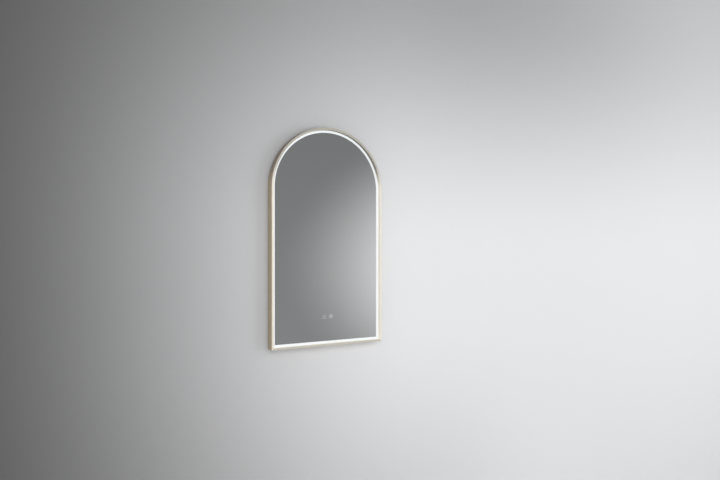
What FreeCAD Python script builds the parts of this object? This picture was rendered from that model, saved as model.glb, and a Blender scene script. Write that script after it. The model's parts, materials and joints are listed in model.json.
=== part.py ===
import FreeCAD, Part
import math
import os
from FreeCAD import Vector

# Wall-hung lighted bathroom mirror with a half-round top, in millimetres.
# X runs to the right as seen from the room, Y into the wall, Z up. The origin is the middle of the
# line through the two wall screws, on the wall's face; the round top has its centre there too.
# "Inset" is a distance inward from the outer face of the frame, the same all round the outline.

# ---- Overall size; the depth of 45 is worked out below, from what lies between front and wall
width = 500.0
height = 900.0
face_recess = 16.0          # the light band and the glass lie this far behind the frame's front edge

# ---- Frame extrusion
frame_wall = 1.5
lip_width = 6.5
lip_thickness = 1.8
lip_bevel = 0.7             # on the front edge that the hand meets
inner_wall = 1.3
web_thickness = 1.3
groove_play = 0.2           # between the diffuser and each side of its groove
screw_boss_depth = 9.0
screw_boss_wall = 1.2
screw_slot_width = 2.5
screw_slot_floor = 1.0
key_leg = 32.0
key_thickness = 2.7
key_play = 0.2
key_barb_height = 0.7
key_barb_pitch = 5.0

# ---- Diffuser and glass
diffuser_thickness = 2.0
diffuser_inset = 2.2        # its outer edge, inside the groove
band_inner_inset = 19.0     # where the light band ends and the mirror begins
diffuser_leg = 1.3
glass_gap = 0.3
glass_thickness = 4.0
glass_arris = 0.4
film_thickness = 0.2
film_margin = 1.5
tape_thickness = 0.8
tape_width = 12.0
tape_margin = 9.0
tape_foot_length = 300.0
tape_crown_share = 0.6      # the crown's tape covers the arc above this share of its radius

# ---- Carrier tray and back cover, folded from sheet
tray_sheet = 1.0
cavity_depth = 13.0
rim_inset = 17.5
rim_corner = 6.0
cover_sheet = 1.0
cover_inset = 1.9
cover_corner = 2.0
cover_screw_pitch = 200.0
bead_width = 12.0
bead_height = 2.0
bead_slope = 0.5            # how far its side leans in for each mm of height
bead_end_share = 0.6        # of its half width, cut off at each corner
bead_inset = 46.0
bead_foot = 92.0            # from the mirror's bottom edge up to the bead
bead_length = 300.0

# ---- Light strip
strip_width = 8.0
strip_thickness = 1.0
strip_gap = 16.0            # between the strip's two ends at the bottom centre
strip_plug_depth = 9.0
strip_plug_length = 12.0
strip_plug_nose = 1.5       # how far it passes through the rim
strip_plug_play = 0.5       # between the plug and each end of the strip
strip_plug_clearance = 0.3
strip_shoe_reach = 3.0      # over each end of the strip
strip_shoe_size = 1.2
strip_shoe_inset = 1.0      # from the strip's front edge

# ---- Wiring hatch in the cover: the window is as large as what it gives access to
hatch_below_rail = 28.0     # window's flange below the wall rail, more than the mirror lifts
hatch_left_bay = 45.0       # left of the driver, for the mains terminals and their lead
hatch_side_room = 4.0
hatch_head_room = 13.0
hatch_foot_room = 10.0
hatch_depth_room = 1.5      # behind the driver's lid
hatch_corner = 10.0
hatch_flange = 12.0
hatch_sheet = 1.0
hatch_draft = 4.0           # how far the pressed wall leans in over its height
hatch_bevel = 1.0           # along the upper edge of the pressed part
gasket_thickness = 1.0
gasket_width = 8.0

# ---- Hanging rail on the wall and the bracket that hooks over it
rail_sheet = 2.0
rail_length = 360.0
rail_web_below = 20.0       # from the screw line down
rail_web_above = 8.0        # from the screw line up to the fold
rail_hook = 14.0            # height of the rail's lip above the fold
hook_play = 0.5
hook_engagement = 11.0
hook_room = 2.0             # between the rail's lip and the bracket's web
bracket_length = 330.0
bracket_web = 22.0
wall_screw_spacing = 300.0
wall_screw_hole_radius = 2.75
backing_bar_thickness = 3.0
backing_bar_height = 18.0
hanger_screw_count = 4
buffer_radius = 10.0
buffer_tip_radius = 8.5
buffer_side = 50.0          # centre in from the mirror's side
buffer_foot = 40.0          # centre up from the mirror's bottom edge

# ---- Screws: shank radius, head radius and head height, then the holes they pass
m3_shank = 1.2
m3_head = 2.8
m3_head_height = 1.9
m3_clear_hole = 1.6
m3_tapped_hole = 1.3
m4_shank = 1.7
m4_head = 4.0
m4_head_height = 1.5
m4_clear_hole = 2.2
m4_tapped_hole = 1.9
cover_screw_length = 8.0
hanger_screw_length = 6.0
hatch_screw_length = 5.0
small_sides = 6             # of screws, leads and their holes, drawn six-sided in place of round
larger_sides = 16           # of round pieces the size of a coin
bend_chords = 4             # straight pieces in each bend of a lead

# ---- Cable inlet for the mains supply
grommet_bore_radius = 5.0
grommet_flange_radius = 9.5
grommet_neck_radius = 7.0
grommet_flange_thickness = 1.5
grommet_play = 0.1
grommet_below_hatch = 22.0  # below the hatch flange

# ---- Touch keys behind the glass
key_height = 120.0          # from the mirror's bottom edge up to the two lit signs
key_spacing = 30.0
touch_width = 74.0
touch_height = 34.0
touch_board_thickness = 1.6
touch_cover_depth = 9.0
touch_wall = 1.5
touch_corner = 2.0
key_window_radius = 10.5
touch_led_size = 3.5
touch_led_height = 0.9
touch_film_margin = 1.0     # round the unit, in the safety film
touch_tray_margin = 1.5     # round the unit, in the tray
touch_tray_corner = 3.0
touch_plug_width = 10.0
touch_plug_depth = 5.0
touch_plug_height = 6.0

# ---- Demister heating film
pad_width = 260.0
pad_height = 360.0
pad_thickness = 0.5
pad_centre_z = -20.0
pad_corner = 15.0
pad_terminal_side = 15.0    # its terminals' centre in from the pad's right edge
pad_terminal_rise = 21.0    # from the control box up to the lower terminal
pad_terminal_size = 10.0
pad_terminal_pitch = 16.0
pad_terminal_corner = 1.5
pad_terminal_roof = 1.0     # over the lead that it takes
pad_slot_margin = 2.0       # round the terminals, in the tray

# ---- Lamp driver
driver_length = 155.0
driver_height = 44.0
driver_depth = 16.0
driver_wall = 1.5
driver_corner = 2.5
driver_lug = 9.0
driver_lug_thickness = 2.0
driver_lug_rise = 14.5      # of its screw, above or below the driver's middle
lid_bevel = 0.7
lid_play = 0.2              # between a lid's lip and its box
driver_board_rise = 3.0
driver_post_radius = 2.5
driver_post_inset = 6.0
board_thickness = 1.6
board_play = 0.3
component_room = 1.8        # between the tallest component and the lid, past the lid's lip

core_width = 22.0           # transformer
core_height = 18.0
core_corner = 1.5
core_place = 0.55           # share of the driver's length, from its left end
coil_length = 26.0
capacitor_length = 18.0
capacitor_gap = 4.0
mains_capacitor_place = 0.25
outlet_capacitor_place = 0.8

# ---- Dimmer and demister control box, to the right of the driver
module_gap = 20.0
control_length = 56.0
control_height = 36.0
control_depth = 13.0
control_wall = 1.3
control_corner = 2.0
relay_width = 16.0
relay_height = 12.0
relay_place = 0.7           # share of the control box's length, from its left end

# ---- Mains terminals and cable clamp, below the driver's left end
terminal_side_room = 6.0    # from the window's edge
terminal_drop = 33.0        # below the driver
terminal_pitch = 10.5
terminal_count = 3
terminal_height = 22.0
terminal_depth = 14.0
terminal_end_wall = 0.75
terminal_wire_rise = 5.6    # of the wires' line, above the tray
terminal_way = 6.8          # square way through the block for each pole's brass sleeve
terminal_sleeve = 6.4
terminal_sleeve_inset = 2.5
terminal_bore_radius = 2.1
terminal_screw_radius = 2.2
terminal_screw_reach = 4.8  # of each clamp screw, from the pole's middle
terminal_screw_sink = 1.5
terminal_screw_slot = 0.8
terminal_well_radius = 2.6
supply_cable_radius = 4.0
clamp_gap = 6.0
clamp_depth = 9.0
clamp_height = 12.0
clamp_land = 3.2            # between the cable and each screw's head
clamp_end_wall = 1.7
clamp_bevel = 1.5
earth_tag_radius = 4.0
earth_tag_thickness = 0.8
earth_tag_reach = 40.0      # to the right of the terminals
earth_tag_drop = 4.0        # below the terminals' middle
earth_neck = 3.0
earth_barrel_length = 5.0
earth_barrel_width = 3.8
earth_barrel_wall = 0.6

# ---- Internal leads
mains_lead_radius = 2.2
power_lead_radius = 1.6
signal_lead_radius = 1.2
lead_play = 0.2             # between a lead and the tray that it lies on
lead_clip_wall = 1.5
lead_clip_length = 9.0
lead_clip_bevel = 0.5       # share of the clip's half width
strip_lead_place = 0.75     # shares of the control box's length, from its left end
touch_lead_place = 0.3
demister_lead_place = 0.4
touch_lead_turn = 0.45      # share of the touch lead's rise below its slant
touch_lead_slant = 60.0
strip_clip_places = (0.25, 0.5, 0.75)   # shares of the lead's straight run
touch_clip_places = (0.3, 0.7)
bend_share = 0.45           # of the shorter run beside a bend, taken by its arc

# ---- Planes and edges worked out from the sizes above
hook_gap = rail_sheet + 2 * hook_play
rear_recess = hook_gap + hook_room + 2 * rail_sheet
depth = (
    face_recess + glass_thickness + film_thickness + tape_thickness
    + tray_sheet + cavity_depth + cover_sheet + rear_recess
)
half_width = width / 2
leg = height - half_width
bottom = -leg
front = -depth
lip_back = front + lip_thickness
face = front + face_recess
web_back = face - groove_play
web_front = web_back - web_thickness
rib_front = face + diffuser_thickness + groove_play
rib_back = rib_front + web_thickness
glass_back = face + glass_thickness
film_back = glass_back + film_thickness
tray_front = film_back + tape_thickness
tray_back = tray_front + tray_sheet
rim_back = tray_back + cavity_depth
flange_front = rim_back - tray_sheet
cover_back = rim_back + cover_sheet
hatch_seat = cover_back + gasket_thickness
hatch_flange_back = hatch_seat + hatch_sheet
dome_back = tray_back + driver_depth + hatch_depth_room + hatch_sheet
glass_inset = band_inner_inset + glass_gap
cover_screw_inset = frame_wall + m3_head + groove_play
rail_top = rail_web_above + rail_hook
key_z = bottom + key_height

window_top = -rail_web_below - hatch_below_rail - hatch_flange
driver_z_span = (window_top - hatch_head_room - driver_height, window_top - hatch_head_room)
driver_z = (driver_z_span[0] + driver_z_span[1]) / 2
terminal_top = driver_z_span[0] - terminal_drop
terminal_z_span = (terminal_top - terminal_height, terminal_top)
terminal_z = (terminal_z_span[0] + terminal_z_span[1]) / 2
clamp_z = terminal_z_span[0] - clamp_gap - clamp_height / 2
window_foot = clamp_z - clamp_height / 2 - hatch_foot_room
hatch_width = hatch_left_bay + driver_length + module_gap + control_length + hatch_side_room
window_side = hatch_width / 2
driver_x_span = (hatch_left_bay - window_side, hatch_left_bay - window_side + driver_length)
control_x_span = (window_side - hatch_side_room - control_length, window_side - hatch_side_room)
control_z_span = (driver_z - control_height / 2, driver_z + control_height / 2)
driver_mouth = tray_back + driver_depth - driver_wall
driver_board_front = tray_back + driver_wall + driver_board_rise
control_mouth = tray_back + control_depth - control_wall
terminal_x = terminal_side_room - window_side
terminal_length = terminal_pitch * terminal_count + 2 * terminal_end_wall
terminal_middle = terminal_x + terminal_length / 2
terminal_wire_y = tray_back + terminal_wire_rise
clamp_screw_reach = supply_cable_radius + m3_head + clamp_land
grommet_x = terminal_middle
grommet_z = window_foot - hatch_flange - grommet_below_hatch
pad_terminal_x = pad_width / 2 - pad_terminal_side
touch_board_back = tray_back + touch_board_thickness


# ---- Small building blocks

def block(x_span, y_span, z_span):
    """Plain block between a low and a high value on each axis."""
    size = [high - low for low, high in (x_span, y_span, z_span)]
    return Part.makeBox(*size, Vector(x_span[0], y_span[0], z_span[0]))


def disc(radius, x, z, y_span):
    """Round bar along Y."""
    return Part.makeCylinder(radius, y_span[1] - y_span[0], Vector(x, y_span[0], z), Vector(0, 1, 0))


def many_sided(radius, centre, heading, sides=small_sides):
    """Regular outline square to the heading, with its corners at the radius."""
    up = Vector(0, 0, 1) if abs(heading.y) > 0 else Vector(0, 1, 0)
    across = Vector(heading).normalize().cross(up)
    corners = []
    for index in range(sides):
        angle = 2 * math.pi * (index + 0.5) / sides
        corners.append(centre + across * (radius * math.cos(angle)) + up * (radius * math.sin(angle)))
    return Part.makePolygon(corners + corners[:1])


def bar_along(radius, start, run, sides=small_sides):
    """Many-sided bar that starts at a point and runs along a vector."""
    return Part.Face(many_sided(radius, start, run, sides)).extrude(run)


def pin(radius, x, z, y_span, sides=small_sides):
    """Many-sided bar along Y, for a small screw, post or hole."""
    return bar_along(radius, Vector(x, y_span[0], z), Vector(0, y_span[1] - y_span[0], 0), sides)


def bend_radius(before, corner, after):
    """Largest arc that leaves straight wire on both runs beside a bend."""
    back = before - corner
    ahead = after - corner
    half_turn = (math.pi - back.getAngle(ahead)) / 2
    return bend_share * min(back.Length, ahead.Length) / math.tan(half_turn)


def rounded_path(points, radii):
    """Edges through the points in order, with a tangent arc at each inner one."""
    edges = []
    start = points[0]
    for before, corner, after, radius in zip(points, points[1:], points[2:], radii):
        back = (before - corner).normalize()
        ahead = (after - corner).normalize()
        half_turn = (math.pi - back.getAngle(ahead)) / 2
        reach = radius * math.tan(half_turn)
        begin = corner + back * reach
        end = corner + ahead * reach
        middle = corner + (back + ahead).normalize() * (radius / math.cos(half_turn) - radius)
        edges.append(Part.makeLine(start, begin))
        edges.append(Part.Arc(begin, middle, end).toShape())
        start = end
    edges.append(Part.makeLine(start, points[-1]))
    return edges


def arch_wire(inset, y, corner=0.0):
    """The mirror's outline moved inward: a half circle on two legs, closed by the bottom edge."""
    half = half_width - inset
    low = bottom + inset
    feet = [Vector(half, y, 0), Vector(half, y, low), Vector(-half, y, low), Vector(-half, y, 0)]
    if corner > 0:
        edges = rounded_path(feet, [corner, corner])
    else:
        edges = [Part.makeLine(a, b) for a, b in zip(feet, feet[1:])]
    edges.append(Part.Arc(feet[3], Vector(0, y, half), feet[0]).toShape())
    return Part.Wire(edges)


def arch_plate(inset, y_span, corner=0.0):
    """Plate of the mirror's outline between two planes."""
    return Part.Face(arch_wire(inset, y_span[0], corner)).extrude(Vector(0, y_span[1] - y_span[0], 0))


def arch_ring(outer, inner, y_span, outer_corner=0.0, inner_corner=0.0):
    """Closed band that follows the mirror's outline between two insets."""
    hole = arch_plate(inner, (y_span[0] - 1, y_span[1] + 1), inner_corner)
    return arch_plate(outer, y_span, outer_corner).cut(hole)


def rim_corner_at(inset):
    """Bottom corner radius of a line that runs beside the tray's rim."""
    return max(rim_corner + rim_inset - inset, 0)


def rounded_rectangle(x_span, z_span, radius, y):
    """Closed rectangle with round corners, in a plane across Y."""
    middle_x = (x_span[0] + x_span[1]) / 2
    points = [Vector(middle_x, y, z_span[0])]
    points += [Vector(x_span[1], y, z_span[0]), Vector(x_span[1], y, z_span[1])]
    points += [Vector(x_span[0], y, z_span[1]), Vector(x_span[0], y, z_span[0])]
    points.append(points[0])
    return Part.Wire(rounded_path(points, [radius] * 4))


def rounded_plate(x_span, z_span, radius, y_span):
    """Plate with round corners between two planes."""
    outline = rounded_rectangle(x_span, z_span, radius, y_span[0])
    return Part.Face(outline).extrude(Vector(0, y_span[1] - y_span[0], 0))


def cut_rectangle(x_span, z_span, cut, y):
    """Closed rectangle with its corners cut off, in a plane across Y."""
    left, right = x_span
    low, high = z_span
    points = [Vector(left + cut, y, low), Vector(right - cut, y, low)]
    points += [Vector(right, y, low + cut), Vector(right, y, high - cut)]
    points += [Vector(right - cut, y, high), Vector(left + cut, y, high)]
    points += [Vector(left, y, high - cut), Vector(left, y, low + cut)]
    return Part.makePolygon(points + points[:1])


def cut_plate(x_span, z_span, cut, y_span):
    """Plate with cut corners between two planes, for small mouldings and openings."""
    outline = cut_rectangle(x_span, z_span, cut, y_span[0])
    return Part.Face(outline).extrude(Vector(0, y_span[1] - y_span[0], 0))


def back_edges(solid, y):
    """Edges that lie in the plane at y on a solid's rear."""
    return [edge for edge in solid.Edges if edge.BoundBox.YMin > y - 1e-6]


def folded_sheet(points, thickness, x_span):
    """Sheet folded along points (y, z), given from the lowest, with its thickness towards the wall."""
    fold = Part.makePolygon([Vector(x_span[0], y, z) for y, z in points])
    section = fold.makeOffset2D(thickness, join=0, fill=True, openResult=True)
    return section.extrude(Vector(x_span[1] - x_span[0], 0, 0))


def pan_screw(x, z, seat, length, shank, head, head_height):
    """Screw driven towards the room, its head on the plane at seat."""
    return pin(shank, x, z, (seat - length, seat)).fuse(pin(head, x, z, (seat, seat + head_height)))


def m3_screw(x, z, seat, length):
    """Small pan-head screw."""
    return pan_screw(x, z, seat, length, m3_shank, m3_head, m3_head_height)


def tray_screw(x, z, grip):
    """Small screw through a piece lying on the tray, ending flush with the tray's front."""
    return m3_screw(x, z, tray_back + grip, grip + tray_sheet)


def m4_screw(x, z, seat, length):
    """Larger pan-head screw."""
    return pan_screw(x, z, seat, length, m4_shank, m4_head, m4_head_height)


def tube_along(name, points, radius):
    """Many-sided lead along straight runs, with bends as large as the runs allow."""
    radii = [bend_radius(*triple) for triple in zip(points, points[1:], points[2:])]
    chords = [points[0]]
    for edge in rounded_path(points, radii):
        straight = edge.Curve.TypeId == "Part::GeomLine"
        chords += edge.discretize(2 if straight else bend_chords + 1)[1:]
    spine = Part.makePolygon(chords)
    start = many_sided(radius, points[0], points[1] - points[0])
    tube = spine.makePipeShell([start], True, False, 1)
    share = tube.Volume / (Part.Face(start).Area * spine.Length)
    print(f"{name}: bend radii {[round(r, 1) for r in radii]}, volume by section and length {share:.4f}")
    return tube


def lead(name, route, radius):
    """Lead lying on the tray's rear face, along a route of (x, z) points."""
    y = tray_back + lead_play + radius
    return tube_along(name, [Vector(x, y, z) for x, z in route], radius)


# ---- Frame: one bent extrusion over the top and down both sides, and a mitred bottom rail

def frame_section():
    """Extrusion's section at the right-hand side, as a face in the X-Y plane.

    From the front: the bevelled lip, the hollow that takes the corner keys, the groove that
    holds the diffuser, the screw channel open to the rear, and the bare wall that meets the wall.
    """
    def at(inset, y):
        return Vector(half_width - inset, y, 0)

    def bar(insets, y_span):
        corners = [at(insets[0], y_span[0]), at(insets[1], y_span[0])]
        corners += [at(insets[1], y_span[1]), at(insets[0], y_span[1])]
        return Part.Face(Part.makePolygon(corners + corners[:1]))

    edge = [at(0, lip_back), at(0, front + lip_bevel), at(lip_bevel, front)]
    edge += [at(lip_width, front), at(lip_width, lip_back)]
    lip = Part.Face(Part.makePolygon(edge + edge[:1]))
    boss_front = flange_front - screw_boss_depth
    slot_inset = cover_screw_inset - screw_slot_width / 2
    boss_inset = slot_inset + screw_slot_width + screw_boss_wall
    walls = [
        bar((0, frame_wall), (lip_back, 0)),
        bar((lip_width - inner_wall, lip_width), (lip_back, web_back)),
        bar((frame_wall, lip_width), (web_front, web_back)),
        bar((frame_wall, lip_width), (rib_front, rib_back)),
        bar((frame_wall, boss_inset), (boss_front, flange_front)),
    ]
    section = lip.multiFuse(walls).removeSplitter()
    slot = bar((slot_inset, slot_inset + screw_slot_width), (boss_front + screw_slot_floor, flange_front))
    return section.cut(slot)


def bottom_field():
    """Triangular prism under the two mitre lines, wide and deep enough for the bottom rail."""
    corners = [
        Vector(-half_width, front - 1, bottom),
        Vector(half_width, front - 1, bottom),
        Vector(0, front - 1, bottom + half_width),
    ]
    return Part.Face(Part.makePolygon(corners + corners[:1])).extrude(Vector(0, depth + 2, 0))


def make_frame_arch():
    section = frame_section()
    right_leg = section.extrude(Vector(0, 0, bottom)).cut(bottom_field())
    left_leg = right_leg.mirror(Vector(0, 0, 0), Vector(1, 0, 0))
    top = section.revolve(Vector(0, 0, 0), Vector(0, -1, 0), 180)
    return top.multiFuse([right_leg, left_leg]).removeSplitter()


def make_frame_bottom():
    section = frame_section()
    section.rotate(Vector(0, 0, 0), Vector(0, 1, 0), 90)
    section.translate(Vector(-half_width, 0, bottom + half_width))
    return section.extrude(Vector(width, 0, 0)).common(bottom_field())


def make_corner_key(side):
    """Push-in corner key: an L with barbs that bite the hollow's inner wall; side is +1 or -1."""
    outer = frame_wall + key_play
    inner = outer + key_thickness
    tip = outer + key_leg
    barb_count = int((key_leg - key_thickness - key_barb_pitch) / key_barb_pitch)
    barb_reach = min(inner + key_barb_height, lip_width - inner_wall)
    leg_side = [(tip, outer), (tip, inner)]
    for index in range(barb_count):
        root = tip - index * key_barb_pitch
        leg_side.append((root - key_barb_pitch, barb_reach))
        leg_side.append((root - key_barb_pitch, inner))
    other_side = [(across, along) for along, across in reversed(leg_side)]
    outline = [(outer, outer)] + leg_side + [(inner, inner)] + other_side
    y_span = (lip_back + key_play, web_front - key_play)
    points = [Vector(side * (half_width - across), y_span[0], bottom + along) for along, across in outline]
    return Part.Face(Part.makePolygon(points + points[:1])).extrude(Vector(0, y_span[1] - y_span[0], 0))


# ---- Light band and glass

def make_diffuser():
    """Opal ring whose flat face is the light band and whose inner leg stands on the tray."""
    band = arch_ring(diffuser_inset, band_inner_inset, (face, face + diffuser_thickness))
    leg_ring = arch_ring(
        band_inner_inset - diffuser_leg, band_inner_inset, (face + diffuser_thickness, tray_front)
    )
    return band.fuse(leg_ring).removeSplitter()


def make_mirror_glass():
    glass = arch_plate(glass_inset, (face, glass_back))
    front_edges = [edge for edge in glass.Edges if edge.BoundBox.YMax < face + 1e-6]
    return glass.makeChamfer(glass_arris, front_edges)


def touch_span(margin):
    """X and Z spans of the touch unit, let out by a margin."""
    x_span = (-touch_width / 2 - margin, touch_width / 2 + margin)
    z_span = (key_z - touch_height / 2 - margin, key_z + touch_height / 2 + margin)
    return x_span, z_span


def make_safety_film():
    """Film that holds the glass together if it breaks, open where the touch unit sits on the glass."""
    film = arch_plate(glass_inset + film_margin, (glass_back, film_back))
    x_span, z_span = touch_span(touch_film_margin)
    return film.cut(block(x_span, (glass_back - 1, film_back + 1), z_span))


def make_demister_pad():
    x_span = (-pad_width / 2, pad_width / 2)
    z_span = (pad_centre_z - pad_height / 2, pad_centre_z + pad_height / 2)
    return cut_plate(x_span, z_span, pad_corner, (film_back, film_back + pad_thickness))


def pad_terminal_spans(index):
    """X and Z spans of one of the pad's two riveted terminals, one above the other."""
    foot = control_z_span[1] + pad_terminal_rise + index * pad_terminal_pitch
    half = pad_terminal_size / 2
    return (pad_terminal_x - half, pad_terminal_x + half), (foot, foot + pad_terminal_size)


def make_demister_terminals():
    terminals = []
    for index in range(2):
        x_span, z_span = pad_terminal_spans(index)
        roof = tray_back + lead_play + 2 * signal_lead_radius + pad_terminal_roof
        y_span = (film_back + pad_thickness, roof)
        terminals.append(cut_plate(x_span, z_span, pad_terminal_corner, y_span))
    return Part.makeCompound(terminals)


def make_glass_tapes():
    """Foam tape strips between the filmed glass and the tray, beside and below the pad."""
    y_span = (film_back, tray_front)
    side = half_width - glass_inset - tape_margin
    strip_foot = bottom + glass_inset + tape_margin
    across = (-tape_foot_length / 2, tape_foot_length / 2)
    pad_edge = pad_width / 2 + tape_margin
    tapes = [
        block((-side, -side + tape_width), y_span, (strip_foot, 0)),
        block((side - tape_width, side), y_span, (strip_foot, 0)),
        block((-pad_edge - tape_width, -pad_edge), y_span, (key_z + touch_height, 0)),
        block((pad_edge, pad_edge + tape_width), y_span, (key_z + touch_height, 0)),
        block(across, y_span, (strip_foot, strip_foot + tape_width)),
    ]
    crown = half_width - glass_inset - tape_margin
    arc = disc(crown, 0, 0, y_span).cut(disc(crown - tape_width, 0, 0, (y_span[0] - 1, y_span[1] + 1)))
    tapes.append(arc.common(block((-crown, crown), y_span, (crown * tape_crown_share, crown))))
    return Part.makeCompound(tapes)


# ---- Carrier tray and back cover

def cover_screw_points():
    """Evenly spaced points along each leg, the round top and the bottom edge."""
    radius = half_width - cover_screw_inset
    foot = bottom + cover_screw_inset
    points = []
    leg_count = max(round(-foot / cover_screw_pitch), 1)
    for index in range(leg_count):
        z = foot * (index + 0.5) / leg_count
        points += [(-radius, z), (radius, z)]
    top_count = max(round(math.pi * radius / cover_screw_pitch), 1)
    for index in range(top_count):
        angle = math.pi * (index + 0.5) / top_count
        points.append((radius * math.cos(angle), radius * math.sin(angle)))
    bottom_count = max(round(2 * radius / cover_screw_pitch), 1)
    for index in range(bottom_count):
        points.append((-radius + 2 * radius * (index + 0.5) / bottom_count, foot))
    return points


def make_carrier_tray():
    """Shallow pan that holds the glass in front and the light strip round its rim."""
    inner = rim_inset + tray_sheet
    pan = arch_plate(rim_inset, (tray_front, rim_back), rim_corner)
    pan = pan.cut(arch_plate(inner, (tray_back, rim_back + 1), rim_corner_at(inner)))
    rim_flange = arch_ring(cover_inset, rim_inset, (flange_front, rim_back), cover_corner, rim_corner)
    tray = pan.fuse(rim_flange).removeSplitter()
    through = (tray_front - 1, tray_back + 1)
    openings = [cut_plate(*touch_span(touch_tray_margin), touch_tray_corner, through)]
    slot_x, low_z = pad_terminal_spans(0)
    high_z = pad_terminal_spans(1)[1]
    slot_x = (slot_x[0] - pad_slot_margin, slot_x[1] + pad_slot_margin)
    slot_z = (low_z[0] - pad_slot_margin, high_z[1] + pad_slot_margin)
    openings.append(cut_plate(slot_x, slot_z, pad_slot_margin, through))
    openings.append(strip_plug_block(strip_plug_clearance))
    flange = (flange_front - 1, rim_back + 1)
    openings += [pin(m3_clear_hole, x, z, flange) for x, z in cover_screw_points()]
    openings += [pin(m3_tapped_hole, x, z, through) for x, z in tray_fixings()]
    return tray.cut(Part.makeCompound(openings))


def bead(side, inward, y_span):
    """Pressed stiffening bead in the cover's lower half, drawn in by a distance all round."""
    middle = side * (half_width - bead_inset)
    foot = bottom + bead_foot
    outlines = []
    for y in y_span:
        draw = inward + bead_slope * (y - rim_back)
        reach = bead_width / 2 - draw
        z_span = (foot + draw, foot + bead_length - draw)
        x_span = (middle - reach, middle + reach)
        outlines.append(cut_rectangle(x_span, z_span, reach * bead_end_share, y))
    return Part.makeLoft(outlines, True, True)


def make_back_cover():
    cover = arch_plate(cover_inset, (rim_back, cover_back), cover_corner)
    through = (rim_back - 1, cover_back + 1)
    for side in (-1, 1):
        cover = cover.fuse(bead(side, 0, (rim_back, cover_back + bead_height)))
        cover = cover.cut(bead(side, cover_sheet, (rim_back - 1, rim_back + bead_height)))
    openings = [rounded_plate(*hatch_spans(0), hatch_corner, through)]
    openings += [pin(m3_clear_hole, x, z, through) for x, z in cover_screw_points()]
    openings += [pin(m3_tapped_hole, x, z, through) for x, z in hatch_screw_points()]
    openings += [pin(m4_clear_hole, x, z, through) for x, z in hanger_screw_points()]
    openings.append(pin(grommet_neck_radius + grommet_play, grommet_x, grommet_z, through, larger_sides))
    return cover.cut(Part.makeCompound(openings))


def make_cover_screws():
    screws = [m3_screw(x, z, cover_back, cover_screw_length) for x, z in cover_screw_points()]
    return Part.makeCompound(screws)


# ---- Wiring hatch

def hatch_spans(margin):
    """X and Z spans of the window in the cover, let out by a margin."""
    reach = window_side + margin
    return (-reach, reach), (window_foot - margin, window_top + margin)


def hatch_screw_points():
    """Three screws along the top of the hatch flange and three along the bottom."""
    x_span, z_span = hatch_spans(hatch_flange - gasket_width / 2)
    reach = x_span[1] - hatch_corner
    return [(x, z) for z in z_span for x in (-reach, 0, reach)]


def make_hatch_gasket():
    """Foam seal between the cover and the hatch flange."""
    y_span = (cover_back, hatch_seat)
    outer_x, outer_z = hatch_spans(hatch_flange)
    inner_x, inner_z = hatch_spans(hatch_flange - gasket_width)
    seal = cut_plate(outer_x, outer_z, hatch_corner, y_span)
    hollow = cut_plate(inner_x, inner_z, hatch_corner / 2, (y_span[0] - 1, y_span[1] + 1))
    holes = [pin(m3_clear_hole, x, z, (y_span[0] - 1, y_span[1] + 1)) for x, z in hatch_screw_points()]
    return seal.cut(Part.makeCompound([hollow] + holes))


def pressed_dome(margin, y_span, corner, bevel):
    """Raised part of the hatch: a drafted plateau with round corners and a bevelled upper edge."""
    shoulder = margin - hatch_draft
    outlines = [
        rounded_rectangle(*hatch_spans(margin), corner, y_span[0]),
        rounded_rectangle(*hatch_spans(shoulder), corner, y_span[1] - bevel),
    ]
    if bevel > 0:
        outlines.append(rounded_rectangle(*hatch_spans(shoulder - bevel), corner, y_span[1]))
    return Part.makeLoft(outlines, True, True)


def make_hatch_cover():
    outer_x, outer_z = hatch_spans(hatch_flange)
    plate = rounded_plate(outer_x, outer_z, hatch_corner, (hatch_seat, hatch_flange_back))
    margin = hatch_flange - gasket_width
    outside = pressed_dome(margin, (hatch_seat, dome_back), hatch_corner, hatch_bevel)
    inside = pressed_dome(
        margin - hatch_sheet, (hatch_seat, dome_back - hatch_sheet), hatch_corner - hatch_sheet, 0
    )
    hatch = plate.fuse(outside).cut(inside)
    through = (hatch_seat - 1, hatch_flange_back + 1)
    holes = [pin(m3_clear_hole, x, z, through) for x, z in hatch_screw_points()]
    return hatch.cut(Part.makeCompound(holes))


def make_hatch_screws():
    points = hatch_screw_points()
    return Part.makeCompound([m3_screw(x, z, hatch_flange_back, hatch_screw_length) for x, z in points])


# ---- Hanging hardware

def hanger_screw_points():
    """Screws through the bracket's web, evenly spaced."""
    z = rail_top + rail_sheet + bracket_web / 2
    pitch = bracket_length / hanger_screw_count
    return [(-bracket_length / 2 + pitch * (index + 0.5), z) for index in range(hanger_screw_count)]


def make_wall_rail():
    """Rail on the wall, folded so that its upper lip stands clear of the wall by the hook gap."""
    wall_face = -rail_sheet
    lip_face = -hook_gap - rail_sheet
    fold = rail_web_above - rail_sheet
    section = [
        (wall_face, -rail_web_below), (wall_face, fold), (lip_face, fold), (lip_face, rail_top),
    ]
    rail = folded_sheet(section, rail_sheet, (-rail_length / 2, rail_length / 2))
    holes = [
        disc(wall_screw_hole_radius, side * wall_screw_spacing / 2, 0, (-rail_sheet - 1, 1))
        for side in (-1, 1)
    ]
    return rail.cut(Part.makeCompound(holes))


def make_hanger_bracket():
    """Bracket on the cover whose downturned lip drops behind the rail's."""
    lip_face = -hook_play - rail_sheet
    seat = rail_top
    section = [
        (cover_back, seat + rail_sheet + bracket_web), (cover_back, seat),
        (lip_face + rail_sheet, seat), (lip_face + rail_sheet, seat - hook_engagement),
    ]
    upward = [(y - rail_sheet * (index > 1), z) for index, (y, z) in enumerate(section)]
    bracket = folded_sheet(list(reversed(upward)), rail_sheet, (-bracket_length / 2, bracket_length / 2))
    through = (cover_back - 1, cover_back + rail_sheet + 1)
    holes = [pin(m4_clear_hole, x, z, through) for x, z in hanger_screw_points()]
    return bracket.cut(Part.makeCompound(holes))


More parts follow.
